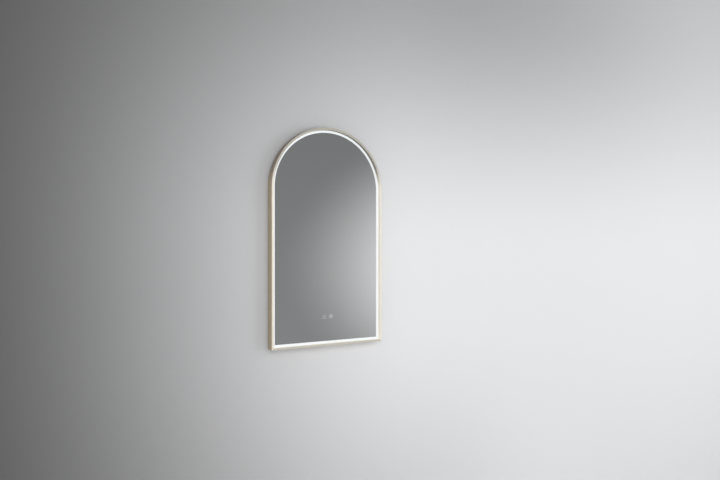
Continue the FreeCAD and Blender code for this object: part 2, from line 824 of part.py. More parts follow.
def make_backing_bar():
    """Tapped bar inside the cover that the bracket's screws pull against."""
    z = hanger_screw_points()[0][1]
    z_span = (z - backing_bar_height / 2, z + backing_bar_height / 2)
    y_span = (rim_back - backing_bar_thickness, rim_back)
    bar = block((-bracket_length / 2, bracket_length / 2), y_span, z_span)
    holes = [pin(m4_tapped_hole, x, z, (y_span[0] - 1, y_span[1] + 1)) for x, z in hanger_screw_points()]
    return bar.cut(Part.makeCompound(holes))


def make_hanger_screws():
    seat = cover_back + rail_sheet
    return Part.makeCompound([m4_screw(x, z, seat, hanger_screw_length) for x, z in hanger_screw_points()])


def make_wall_buffers():
    """Two rubber feet on the cover that meet the wall near the bottom corners."""
    feet = []
    for side in (-1, 1):
        base = Vector(side * (half_width - buffer_side), cover_back, bottom + buffer_foot)
        tip = Vector(base.x, 0, base.z)
        outlines = [
            many_sided(buffer_radius, base, Vector(0, 1, 0), larger_sides),
            many_sided(buffer_tip_radius, tip, Vector(0, 1, 0), larger_sides),
        ]
        feet.append(Part.makeLoft(outlines, True, True))
    return Part.makeCompound(feet)


def make_cable_grommet():
    """Rubber grommet that grips the cover's edge and takes the supply cable."""
    inside = (rim_back - grommet_flange_thickness, rim_back)
    outside = (cover_back, cover_back + grommet_flange_thickness)
    body = pin(grommet_flange_radius, grommet_x, grommet_z, inside, larger_sides)
    body = body.fuse(pin(grommet_flange_radius, grommet_x, grommet_z, outside, larger_sides))
    body = body.fuse(pin(grommet_neck_radius, grommet_x, grommet_z, (rim_back, cover_back), larger_sides))
    bore = disc(grommet_bore_radius, grommet_x, grommet_z, (inside[0] - 1, outside[1] + 1))
    return body.cut(bore).removeSplitter()


# ---- Light strip round the tray's rim

def strip_y_span():
    """Y span of the strip, centred on the rim between the tray's front and its flange."""
    middle = (tray_front + flange_front) / 2
    return middle - strip_width / 2, middle + strip_width / 2


def make_led_strip():
    """Flexible strip with its line of chips, laid on the rim and open at the bottom centre."""
    outer = rim_inset - strip_thickness
    y_span = strip_y_span()
    ring = arch_ring(outer, rim_inset, y_span, rim_corner_at(outer), rim_corner)
    return ring.cut(block((-strip_gap / 2, strip_gap / 2), y_span, (bottom, bottom + 2 * rim_inset)))


def strip_plug_block(margin):
    """Outer form of the plug that passes through the rim at the bottom centre."""
    reach = strip_gap / 2 - strip_plug_play + margin
    low = bottom + rim_inset - strip_plug_nose - margin
    y_span = (tray_back + lead_play - margin, tray_back + lead_play + strip_plug_depth + margin)
    return block((-reach, reach), y_span, (low, low + strip_plug_length + 2 * margin))


def make_strip_plug():
    """Plug through the rim: its two side shoes reach over the strip's ends."""
    plug = strip_plug_block(0)
    reach = strip_gap / 2 + strip_shoe_reach
    shoe_y = strip_y_span()[0] + strip_shoe_inset
    shoe_top = bottom + rim_inset - strip_thickness
    shoe = block((-reach, reach), (shoe_y, shoe_y + strip_shoe_size), (shoe_top - strip_shoe_size, shoe_top))
    return plug.fuse(shoe).removeSplitter()


# ---- Touch unit behind the two lit signs

def key_windows(radius, y_span):
    """Openings, one behind each sign."""
    places = [side * key_spacing / 2 for side in (-1, 1)]
    return Part.makeCompound([pin(radius, x, key_z, y_span, larger_sides) for x in places])


def make_touch_gasket():
    """Black foam that seals the board to the glass and keeps each sign's light apart."""
    y_span = (glass_back, tray_back)
    gasket = cut_plate(*touch_span(0), touch_corner, y_span)
    return gasket.cut(key_windows(key_window_radius, (y_span[0] - 1, y_span[1] + 1)))


def make_touch_board():
    return cut_plate(*touch_span(0), touch_corner, (tray_back, touch_board_back))


def make_touch_leds():
    half = touch_led_size / 2
    lamps = []
    for side in (-1, 1):
        x = side * key_spacing / 2
        y_span = (tray_back - touch_led_height, tray_back)
        lamps.append(block((x - half, x + half), y_span, (key_z - half, key_z + half)))
    return Part.makeCompound(lamps)


def make_touch_cover():
    """Open moulded box over the back of the board, its wall standing on the board's rim."""
    back = touch_board_back + touch_cover_depth
    shell = cut_plate(*touch_span(0), touch_corner, (touch_board_back, back))
    shell = shell.makeChamfer(lid_bevel, back_edges(shell, back))
    hollow = (touch_board_back - 1, back - touch_wall)
    return shell.cut(cut_plate(*touch_span(-touch_wall), touch_corner - touch_wall / 2, hollow))


def make_touch_connector():
    """Pin header on the board's back, inside the cover."""
    left = (key_spacing - touch_plug_width) / 2
    high = key_z + touch_height / 2 - touch_wall - board_play
    y_span = (touch_board_back, touch_board_back + touch_plug_depth)
    return block((left, left + touch_plug_width), y_span, (high - touch_plug_height, high))


# ---- Driver, control box and mains terminals on the tray's rear face

def open_box(x_span, z_span, wall, floor, y_span, corner):
    """Moulded box with its floor on the tray and its mouth towards the wall."""
    shell = cut_plate(x_span, z_span, corner, y_span)
    hollow_x = (x_span[0] + wall, x_span[1] - wall)
    hollow_z = (z_span[0] + wall, z_span[1] - wall)
    return shell.cut(cut_plate(hollow_x, hollow_z, corner / 2, (y_span[0] + floor, y_span[1] + 1)))


def box_lid(x_span, z_span, wall, y_span, corner):
    """Lid with a locating lip, as deep as the wall is thick, that fits inside the box's walls."""
    lid = cut_plate(x_span, z_span, corner, y_span)
    lid = lid.makeChamfer(lid_bevel, back_edges(lid, y_span[1]))
    reach = wall + lid_play
    lip_x = (x_span[0] + reach, x_span[1] - reach)
    lip_z = (z_span[0] + reach, z_span[1] - reach)
    lip = cut_plate(lip_x, lip_z, corner / 2, (y_span[0] - wall, y_span[0]))
    inner_x = (lip_x[0] + wall, lip_x[1] - wall)
    inner_z = (lip_z[0] + wall, lip_z[1] - wall)
    hollow = block(inner_x, (y_span[0] - wall - 1, y_span[0]), inner_z)
    return lid.fuse(lip.cut(hollow))


def driver_lug_points():
    """Fixing points on the two lugs, on opposite corners."""
    left = (driver_x_span[0] - driver_lug / 2, driver_z + driver_lug_rise)
    right = (driver_x_span[1] + driver_lug / 2, driver_z - driver_lug_rise)
    return [left, right]


def make_driver_base():
    base = open_box(
        driver_x_span, driver_z_span, driver_wall, driver_wall, (tray_back, driver_mouth), driver_corner
    )
    for x, z in driver_lug_points():
        half = driver_lug / 2
        lug_back = tray_back + driver_lug_thickness
        base = base.fuse(block((x - half, x + half), (tray_back, lug_back), (z - half, z + half)))
    inset = driver_wall + driver_post_inset
    posts = []
    for x in (driver_x_span[0] + inset, driver_x_span[1] - inset):
        for z in (driver_z_span[0] + inset, driver_z_span[1] - inset):
            posts.append(pin(driver_post_radius, x, z, (tray_back + driver_wall, driver_board_front)))
    base = base.multiFuse(posts)
    through = (tray_back - 1, tray_back + driver_lug_thickness + 1)
    holes = [pin(m3_clear_hole, x, z, through) for x, z in driver_lug_points()]
    return base.cut(Part.makeCompound(holes))


def make_driver_lid():
    y_span = (driver_mouth, driver_mouth + driver_wall)
    return box_lid(driver_x_span, driver_z_span, driver_wall, y_span, driver_corner)


def make_driver_board():
    play = driver_wall + board_play
    x_span = (driver_x_span[0] + play, driver_x_span[1] - play)
    z_span = (driver_z_span[0] + play, driver_z_span[1] - play)
    y_span = (driver_board_front, driver_board_front + board_thickness)
    return cut_plate(x_span, z_span, driver_corner / 2, y_span)


def make_driver_transformer():
    """Wound coil between the two halves of its core."""
    board_back = driver_board_front + board_thickness
    middle = driver_x_span[0] + driver_length * core_place
    top = driver_mouth - component_room
    x_span = (middle - core_width / 2, middle + core_width / 2)
    z_span = (driver_z - core_height / 2, driver_z + core_height / 2)
    core = cut_plate(x_span, z_span, core_corner, (board_back, top))
    coil_half = (top - board_back) / 2
    start = Vector(middle, board_back + coil_half, driver_z - coil_length / 2)
    return core.fuse(bar_along(coil_half, start, Vector(0, 0, coil_length), larger_sides))


def make_driver_capacitors():
    """Round capacitors lying on the board, one on the mains side and two on the low-voltage side."""
    board_back = driver_board_front + board_thickness
    radius = (driver_mouth - component_room - board_back) / 2
    pair = radius + capacitor_gap / 2
    places = [(mains_capacitor_place, 0), (outlet_capacitor_place, -pair), (outlet_capacitor_place, pair)]
    cans = []
    for share, z_offset in places:
        x = driver_x_span[0] + driver_length * share - capacitor_length / 2
        start = Vector(x, board_back + radius, driver_z + z_offset)
        cans.append(bar_along(radius, start, Vector(capacitor_length, 0, 0), larger_sides))
    return Part.makeCompound(cans)


def make_driver_screws():
    return Part.makeCompound([tray_screw(x, z, driver_lug_thickness) for x, z in driver_lug_points()])


def make_control_case():
    y_span = (tray_back, control_mouth)
    return open_box(control_x_span, control_z_span, control_wall, control_wall, y_span, control_corner)


def make_control_lid():
    y_span = (control_mouth, control_mouth + control_wall)
    return box_lid(control_x_span, control_z_span, control_wall, y_span, control_corner)


def make_control_board():
    play = control_wall + board_play
    x_span = (control_x_span[0] + play, control_x_span[1] - play)
    z_span = (control_z_span[0] + play, control_z_span[1] - play)
    y_front = tray_back + control_wall
    return cut_plate(x_span, z_span, control_corner / 2, (y_front, y_front + board_thickness))


def make_control_relay():
    """Relay that switches the demister pad."""
    y_front = tray_back + control_wall + board_thickness
    y_span = (y_front, control_mouth - component_room)
    middle = control_x_span[0] + control_length * relay_place
    x_span = (middle - relay_width / 2, middle + relay_width / 2)
    return block(x_span, y_span, (driver_z - relay_height / 2, driver_z + relay_height / 2))


def terminal_positions():
    """Middle of each pole along X."""
    first = terminal_x + terminal_end_wall + terminal_pitch / 2
    return [first + index * terminal_pitch for index in range(terminal_count)]


def terminal_screw_points():
    """Two clamp screws on each pole."""
    heights = [terminal_z - terminal_screw_reach, terminal_z + terminal_screw_reach]
    return [(x, z) for x in terminal_positions() for z in heights]


def make_terminal_block():
    """Moulded block with a wire way and two screw wells for each pole."""
    x_span = (terminal_x, terminal_x + terminal_length)
    body = block(x_span, (tray_back, tray_back + terminal_depth), terminal_z_span)
    half = terminal_way / 2
    way_z = (terminal_z_span[0] - 1, terminal_z_span[1] + 1)
    way_y = (terminal_wire_y - half, terminal_wire_y + half)
    openings = [block((x - half, x + half), way_y, way_z) for x in terminal_positions()]
    well_y = (terminal_wire_y, tray_back + terminal_depth + 1)
    openings += [pin(terminal_well_radius, x, z, well_y) for x, z in terminal_screw_points()]
    return body.cut(Part.makeCompound(openings))


def make_terminal_clamps():
    """Brass sleeve in each pole, with a bore for the wires."""
    half = terminal_sleeve / 2
    z_span = (terminal_z_span[0] + terminal_sleeve_inset, terminal_z_span[1] - terminal_sleeve_inset)
    sleeves = []
    for x in terminal_positions():
        sleeve = block((x - half, x + half), (terminal_wire_y - half, terminal_wire_y + half), z_span)
        mouth = Vector(x, terminal_wire_y, z_span[0] - 1)
        sleeves.append(sleeve.cut(bar_along(terminal_bore_radius, mouth, Vector(0, 0, terminal_height))))
    return Part.makeCompound(sleeves)


def make_terminal_screws():
    """Slotted clamp screws, sitting on the brass sleeves a little below the block's top."""
    low = terminal_wire_y + terminal_sleeve / 2
    high = tray_back + terminal_depth - terminal_screw_sink
    half = terminal_screw_slot / 2
    screws = []
    for x, z in terminal_screw_points():
        slot_x = (x - terminal_well_radius, x + terminal_well_radius)
        slot = block(slot_x, (high - terminal_screw_slot, high + 1), (z - half, z + half))
        screws.append(pin(terminal_screw_radius, x, z, (low, high)).cut(slot))
    return Part.makeCompound(screws)


def clamp_screw_points():
    return [(terminal_middle + side * clamp_screw_reach, clamp_z) for side in (-1, 1)]


def make_cable_clamp():
    """Saddle that grips the supply cable below the terminals."""
    reach = clamp_screw_reach + m3_head + clamp_end_wall
    z_span = (clamp_z - clamp_height / 2, clamp_z + clamp_height / 2)
    y_span = (tray_back, tray_back + clamp_depth)
    body = block((terminal_middle - reach, terminal_middle + reach), y_span, z_span)
    shoulders = [
        edge for edge in body.Edges if edge.BoundBox.ZLength > 1 and edge.BoundBox.YMin > y_span[1] - 1
    ]
    body = body.makeChamfer(clamp_bevel, shoulders)
    middle_y = tray_back + supply_cable_radius
    mouth = Vector(terminal_middle, middle_y, z_span[0] - 1)
    way = Part.makeCylinder(supply_cable_radius, clamp_height + 2, mouth, Vector(0, 0, 1))
    under_x = (terminal_middle - supply_cable_radius, terminal_middle + supply_cable_radius)
    under = block(under_x, (tray_back - 1, middle_y), (z_span[0] - 1, z_span[1] + 1))
    holes = [pin(m3_clear_hole, x, z, (y_span[0] - 1, y_span[1] + 1)) for x, z in clamp_screw_points()]
    return body.cut(Part.makeCompound([way, under] + holes))


def make_clamp_screws():
    return Part.makeCompound([tray_screw(x, z, clamp_depth) for x, z in clamp_screw_points()])


def earth_point():
    """Where the earth tag is screwed to the tray."""
    return terminal_x + terminal_length + earth_tag_reach, terminal_z - earth_tag_drop


def earth_barrel_z():
    """Low and high end of the tag's crimped barrel."""
    low = earth_point()[1] + earth_tag_radius + earth_neck
    return low, low + earth_barrel_length


def make_earth_tag():
    """Ring tag with a crimped barrel that takes the earth lead from above."""
    x, z = earth_point()
    y_span = (tray_back, tray_back + earth_tag_thickness)
    barrel_z = earth_barrel_z()
    barrel_back = tray_back + lead_play + 2 * signal_lead_radius + earth_barrel_wall
    x_span = (x - earth_barrel_width / 2, x + earth_barrel_width / 2)
    tag = pin(earth_tag_radius, x, z, y_span)
    neck = block(x_span, y_span, (z + m3_clear_hole, barrel_z[0]))
    barrel = block(x_span, (tray_back, barrel_back), barrel_z)
    hole = pin(m3_clear_hole, x, z, (y_span[0] - 1, y_span[1] + 1))
    return tag.fuse(neck).fuse(barrel).cut(hole).removeSplitter()


def make_earth_screw():
    return tray_screw(*earth_point(), earth_tag_thickness)


def tray_fixings():
    """Every tapped hole in the tray's front plate."""
    return driver_lug_points() + clamp_screw_points() + [earth_point()]


# ---- Internal leads, each laid on the tray's rear face

def mains_route():
    """From the live and neutral poles up and into the driver's left end."""
    x = (terminal_positions()[0] + terminal_positions()[1]) / 2
    return [(x, terminal_top), (x, driver_z), (driver_x_span[0], driver_z)]


def earth_route():
    """From the earth pole up, across, and down to the tag."""
    x = terminal_positions()[2]
    tag_x = earth_point()[0]
    over = terminal_top + terminal_drop / 2
    return [(x, terminal_top), (x, over), (tag_x, over), (tag_x, earth_barrel_z()[1])]


def driver_route():
    """Low-voltage supply from the driver's right end to the control box."""
    return [(driver_x_span[1], driver_z), (control_x_span[0], driver_z)]


def strip_route():
    """From the control box down the tray to the strip's plug at the bottom centre."""
    x = control_x_span[0] + control_length * strip_lead_place
    plug_top = bottom + rim_inset - strip_plug_nose + strip_plug_length
    across = (key_z - touch_height / 2 + plug_top) / 2
    return [(x, control_z_span[0]), (x, across), (0, across), (0, plug_top)]


def touch_route():
    """From the touch unit up to the control box."""
    x = control_x_span[0] + control_length * touch_lead_place
    start = key_z + touch_height / 2
    end = control_z_span[0]
    turn = start + (end - start) * touch_lead_turn
    return [(key_spacing / 2, start), (key_spacing / 2, turn), (x, turn + touch_lead_slant), (x, end)]


def demister_route():
    """From the control box's top to the pad's lower terminal."""
    x_span, z_span = pad_terminal_spans(0)
    middle = (x_span[0] + x_span[1]) / 2
    x = control_x_span[0] + control_length * demister_lead_place
    start = control_z_span[1]
    step = (z_span[0] - start) / 3
    return [(x, start), (x, start + step), (middle, z_span[0] - step), (middle, z_span[0])]


def make_lead_clips():
    """Adhesive saddles that hold the long leads to the tray."""
    strip = strip_route()
    touch = touch_route()
    places = []
    for share in strip_clip_places:
        z = strip[0][1] + (strip[1][1] - strip[0][1]) * share
        places.append((strip[0][0], z, power_lead_radius))
    for share in touch_clip_places:
        z = touch[0][1] + (touch[1][1] - touch[0][1]) * share
        places.append((touch[0][0], z, signal_lead_radius))
    clips = []
    for x, z, radius in places:
        y = tray_back + lead_play + radius
        reach = radius + lead_clip_wall
        z_span = (z - lead_clip_length / 2, z + lead_clip_length / 2)
        saddle = block((x - reach, x + reach), (tray_back, y + reach), z_span)
        crown = [edge for edge in saddle.Edges if edge.BoundBox.ZLength > 1 and edge.BoundBox.YMin > y]
        saddle = saddle.makeChamfer(reach * lead_clip_bevel, crown)
        mouth = Vector(x, y, z_span[0] - 1)
        clips.append(saddle.cut(bar_along(radius + lead_play / 2, mouth, Vector(0, 0, lead_clip_length + 2))))
    return Part.makeCompound(clips)


# ---- Every piece by name

pieces = {
    "wall_rail": make_wall_rail(),
    "frame_arch": make_frame_arch(),
    "frame_bottom": make_frame_bottom(),
    "corner_key_left": make_corner_key(-1),
    "corner_key_right": make_corner_key(1),
    "diffuser": make_diffuser(),
    "mirror_glass": make_mirror_glass(),
    "safety_film": make_safety_film(),
    "demister_pad": make_demister_pad(),
    "demister_terminals": make_demister_terminals(),
    "glass_tapes": make_glass_tapes(),
    "carrier_tray": make_carrier_tray(),
    "back_cover": make_back_cover(),
    "cover_screws": make_cover_screws(),
    "hatch_gasket": make_hatch_gasket(),
    "hatch_cover": make_hatch_cover(),
    "hatch_screws": make_hatch_screws(),
    "hanger_bracket": make_hanger_bracket(),
    "backing_bar": make_backing_bar(),
    "hanger_screws": make_hanger_screws(),
    "wall_buffers": make_wall_buffers(),
    "cable_grommet": make_cable_grommet(),
    "led_strip": make_led_strip(),
    "strip_plug": make_strip_plug(),
    "touch_gasket": make_touch_gasket(),
    "touch_board": make_touch_board(),
    "touch_leds": make_touch_leds(),
    "touch_cover": make_touch_cover(),
    "touch_connector": make_touch_connector(),
    "driver_base": make_driver_base(),
    "driver_lid": make_driver_lid(),
    "driver_board": make_driver_board(),
    "driver_transformer": make_driver_transformer(),
    "driver_capacitors": make_driver_capacitors(),
    "driver_screws": make_driver_screws(),
    "control_case": make_control_case(),
    "control_lid": make_control_lid(),
    "control_board": make_control_board(),
    "control_relay": make_control_relay(),
    "terminal_block": make_terminal_block(),
    "terminal_clamps": make_terminal_clamps(),
    "terminal_screws": make_terminal_screws(),
    "cable_clamp": make_cable_clamp(),
    "clamp_screws": make_clamp_screws(),
    "earth_tag": make_earth_tag(),
    "earth_screw": make_earth_screw(),
    "mains_lead": lead("mains_lead", mains_route(), mains_lead_radius),
    "earth_lead": lead("earth_lead", earth_route(), signal_lead_radius),
    "driver_lead": lead("driver_lead", driver_route(), power_lead_radius),
    "strip_lead": lead("strip_lead", strip_route(), power_lead_radius),
    "touch_lead": lead("touch_lead", touch_route(), signal_lead_radius),
    "demister_lead": lead("demister_lead", demister_route(), signal_lead_radius),
    "lead_clips": make_lead_clips(),
}

os.makedirs("parts", exist_ok=True)
for name, shape in pieces.items():
    shape.exportStep(f"parts/{name}.step")
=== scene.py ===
"""Looks of a wall-hung lighted mirror with a half-round top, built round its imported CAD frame.

The smooth frame, diffuser, glass, pressed hatch and turned parts are new meshes that stand for their
solids. The other solids stay as they are and take a finish by their material slot.
"""

import json
import logging
import math
from dataclasses import dataclass
from enum import Enum, IntEnum
from typing import Callable, Iterable, Mapping, Optional, Sequence, Union

import bmesh
import bpy
from bmesh.types import BMEdge, BMFace, BMVert
from mathutils import Matrix, Vector

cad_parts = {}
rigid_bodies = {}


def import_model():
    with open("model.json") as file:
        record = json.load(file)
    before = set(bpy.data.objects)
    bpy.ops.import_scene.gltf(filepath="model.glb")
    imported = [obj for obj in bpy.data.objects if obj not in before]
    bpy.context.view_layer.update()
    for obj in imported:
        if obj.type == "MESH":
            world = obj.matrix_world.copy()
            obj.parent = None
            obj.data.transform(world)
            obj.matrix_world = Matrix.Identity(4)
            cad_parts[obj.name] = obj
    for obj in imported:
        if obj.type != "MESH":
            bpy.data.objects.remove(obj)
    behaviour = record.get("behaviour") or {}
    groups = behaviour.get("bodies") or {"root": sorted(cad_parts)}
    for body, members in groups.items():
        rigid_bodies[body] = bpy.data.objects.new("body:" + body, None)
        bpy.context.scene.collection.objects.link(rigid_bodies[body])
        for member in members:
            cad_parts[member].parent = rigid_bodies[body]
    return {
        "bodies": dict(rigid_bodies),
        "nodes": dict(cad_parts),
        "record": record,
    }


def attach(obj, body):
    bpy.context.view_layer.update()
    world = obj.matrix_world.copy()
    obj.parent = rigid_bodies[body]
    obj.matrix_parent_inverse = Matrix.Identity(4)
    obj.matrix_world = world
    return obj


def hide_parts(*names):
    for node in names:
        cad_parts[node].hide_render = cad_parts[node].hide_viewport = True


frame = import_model()
log = logging.getLogger("lighted_mirror")

METRES_PER_MM = 0.001
SHARP_TURN = math.radians(35)
QUARTER_TURN = math.pi / 2
HALF_TURN = math.pi
FULL_TURN = 2 * math.pi
MERGE_DISTANCE = 1e-4
ROUND_PROFILE = 0.5
Y_AXIS = Vector((0, 1, 0))

# The two lit signs: their distance from the middle, their level, and the glass's front face, in
# millimetres from the screws' line on the wall.
SIGN_SIDE = 15.0
SIGN_LEVEL = -530.0
GLASS_FRONT = -29.0

# The curve between screen colours and light.
SCREEN_TOP = 255
CURVE_KNEE = 0.04045
CURVE_SLOPE = 12.92
CURVE_OFFSET = 0.055
CURVE_POWER = 2.4

# The colour inputs and the colour output of a Mix node, by number.
MIX_FIRST = 6
MIX_SECOND = 7
MIX_RESULT = 2

Colour = tuple[float, float, float]
Span = tuple[float, float]
Place = tuple[float, float]
Place3 = tuple[float, float, float]


class Body(str, Enum):
    """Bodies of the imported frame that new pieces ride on."""

    HUNG = "mirror_unit"


class Slot(str, Enum):
    """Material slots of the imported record."""

    CHAMPAGNE = "frame_champagne"
    KEY_ZINC = "key_zinc"
    OPAL = "opal_diffuser"
    MIRROR = "mirror_glass"
    BACKING = "backing_film"
    HEATING = "heating_film"
    WHITE_PLASTIC = "white_plastic"
    BLACK_PLASTIC = "black_plastic"
    TAPE = "foam_tape"
    TRAY = "tray_aluminium"
    COVER = "cover_steel"
    BRACKET = "bracket_steel"
    SCREW = "screw_zinc"
    SEAL = "black_foam"
    RUBBER = "black_rubber"
    STRIP = "white_board"
    BOARD = "circuit_board"
    LAMP = "lamp_lens"
    FERRITE = "ferrite_core"
    SLEEVE = "capacitor_sleeve"
    BRASS = "brass"
    GREY_LEAD = "grey_lead"
    WHITE_LEAD = "white_lead"
    EARTH_LEAD = "earth_lead"


class FrameFace(IntEnum):
    """Faces of the frame, by the number of the finish that they take."""

    OUTSIDE = 0
    LIP = 1
    RETURN = 2


class Axis(str, Enum):
    """Axes that a pattern can run across."""

    X = "X"
    Z = "Z"


class Output(str, Enum):
    """Nodes that a net can end in."""

    MATERIAL = "ShaderNodeOutputMaterial"
    WORLD = "ShaderNodeOutputWorld"


def linear(red: int, green: int, blue: int) -> Colour:
    """Turns an 8-bit screen colour into the linear colour that a shader takes.

    Args:
        red: Red part, 0 to 255.
        green: Green part, 0 to 255.
        blue: Blue part, 0 to 255.

    Returns:
        The three linear parts.
    """
    whole = 1 + CURVE_OFFSET
    parts = (part / SCREEN_TOP for part in (red, green, blue))
    return tuple(
        part / CURVE_SLOPE if part <= CURVE_KNEE else ((part + CURVE_OFFSET) / whole) ** CURVE_POWER
        for part in parts
    )


def opaque(colour: Colour) -> tuple[float, float, float, float]:
    """Adds a full alpha to a colour."""
    return (*colour, 1.0)


def dimmed(colour: Colour, share: float) -> Colour:
    """Takes a colour down to a share of its brightness."""
    return tuple(part * share for part in colour)


# ---------------------------------------------------------------- shader nodes


@dataclass(frozen=True)
class Grain:
    """A cloudy pattern: clouds in a metre, and octaves of finer ones."""

    scale: float
    detail: float = 2.0


@dataclass(frozen=True)
class Relief:
    """How far a pattern rises, in metres, and the share of it that shows."""

    depth: float
    strength: float


class Signal:
    """A number on a shader socket. Python's operators on it add Math nodes."""

    def __init__(self, net: "ShaderNet", socket: bpy.types.NodeSocket) -> None:
        """Wraps a socket.

        Args:
            net: Node net that the socket belongs to.
            socket: Output socket that carries the number.
        """
        self.net = net
        self.socket = socket

    def _math(self, operation: str, *values: "Number") -> "Signal":
        """Adds one Math node.

        Args:
            operation: The Math node's operation.
            values: Its inputs in order.

        Returns:
            The node's result.
        """
        node = self.net.add("ShaderNodeMath", {"operation": operation}, dict(enumerate(values)))
        return Signal(self.net, node.outputs[0])

    def __add__(self, other: "Number") -> "Signal":
        """Sum."""
        return self._math("ADD", self, other)

    __radd__ = __add__

    def __sub__(self, other: "Number") -> "Signal":
        """Difference."""
        return self._math("SUBTRACT", self, other)

    def __rsub__(self, other: "Number") -> "Signal":
        """Difference with this signal taken away."""
        return self._math("SUBTRACT", other, self)

    def __mul__(self, other: "Number") -> "Signal":
        """Product."""
        return self._math("MULTIPLY", self, other)

    __rmul__ = __mul__

    def __truediv__(self, other: "Number") -> "Signal":
        """Quotient."""
        return self._math("DIVIDE", self, other)

    def root(self) -> "Signal":
        """Square root."""
        return self._math("POWER", self, 1 / 2)

    def angle(self) -> "Signal":
        """Angle whose cosine this is."""
        return self._math("ARCCOSINE", self)

    def heading_from(self, ahead: "Number") -> "Signal":
        """Angle of a direction, from what lies ahead towards this signal's side."""
        return self._math("ARCTAN2", self, ahead)

    def at_most(self, limit: float) -> "Signal":
        """This signal, held down to a limit."""
        return self._math("MINIMUM", self, limit)

    def ramp(self, low: float, high: float) -> "Signal":
        """Smooth rise from 0 at low to 1 at high; low may be the greater.

        Args:
            low: Value that gives 0.
            high: Value that gives 1.

        Returns:
            The eased signal.
        """
        settings = {"interpolation_type": "SMOOTHSTEP", "clamp": True}
        values = {"Value": self, "From Min": low, "From Max": high, "To Min": 0.0, "To Max": 1.0}
        return Signal(self.net, self.net.add("ShaderNodeMapRange", settings, values).outputs[0])


Number = Union[float, Signal]
Paint = Union[Colour, bpy.types.NodeSocket]
Input = Union[float, Sequence[float], Signal, bpy.types.NodeSocket]


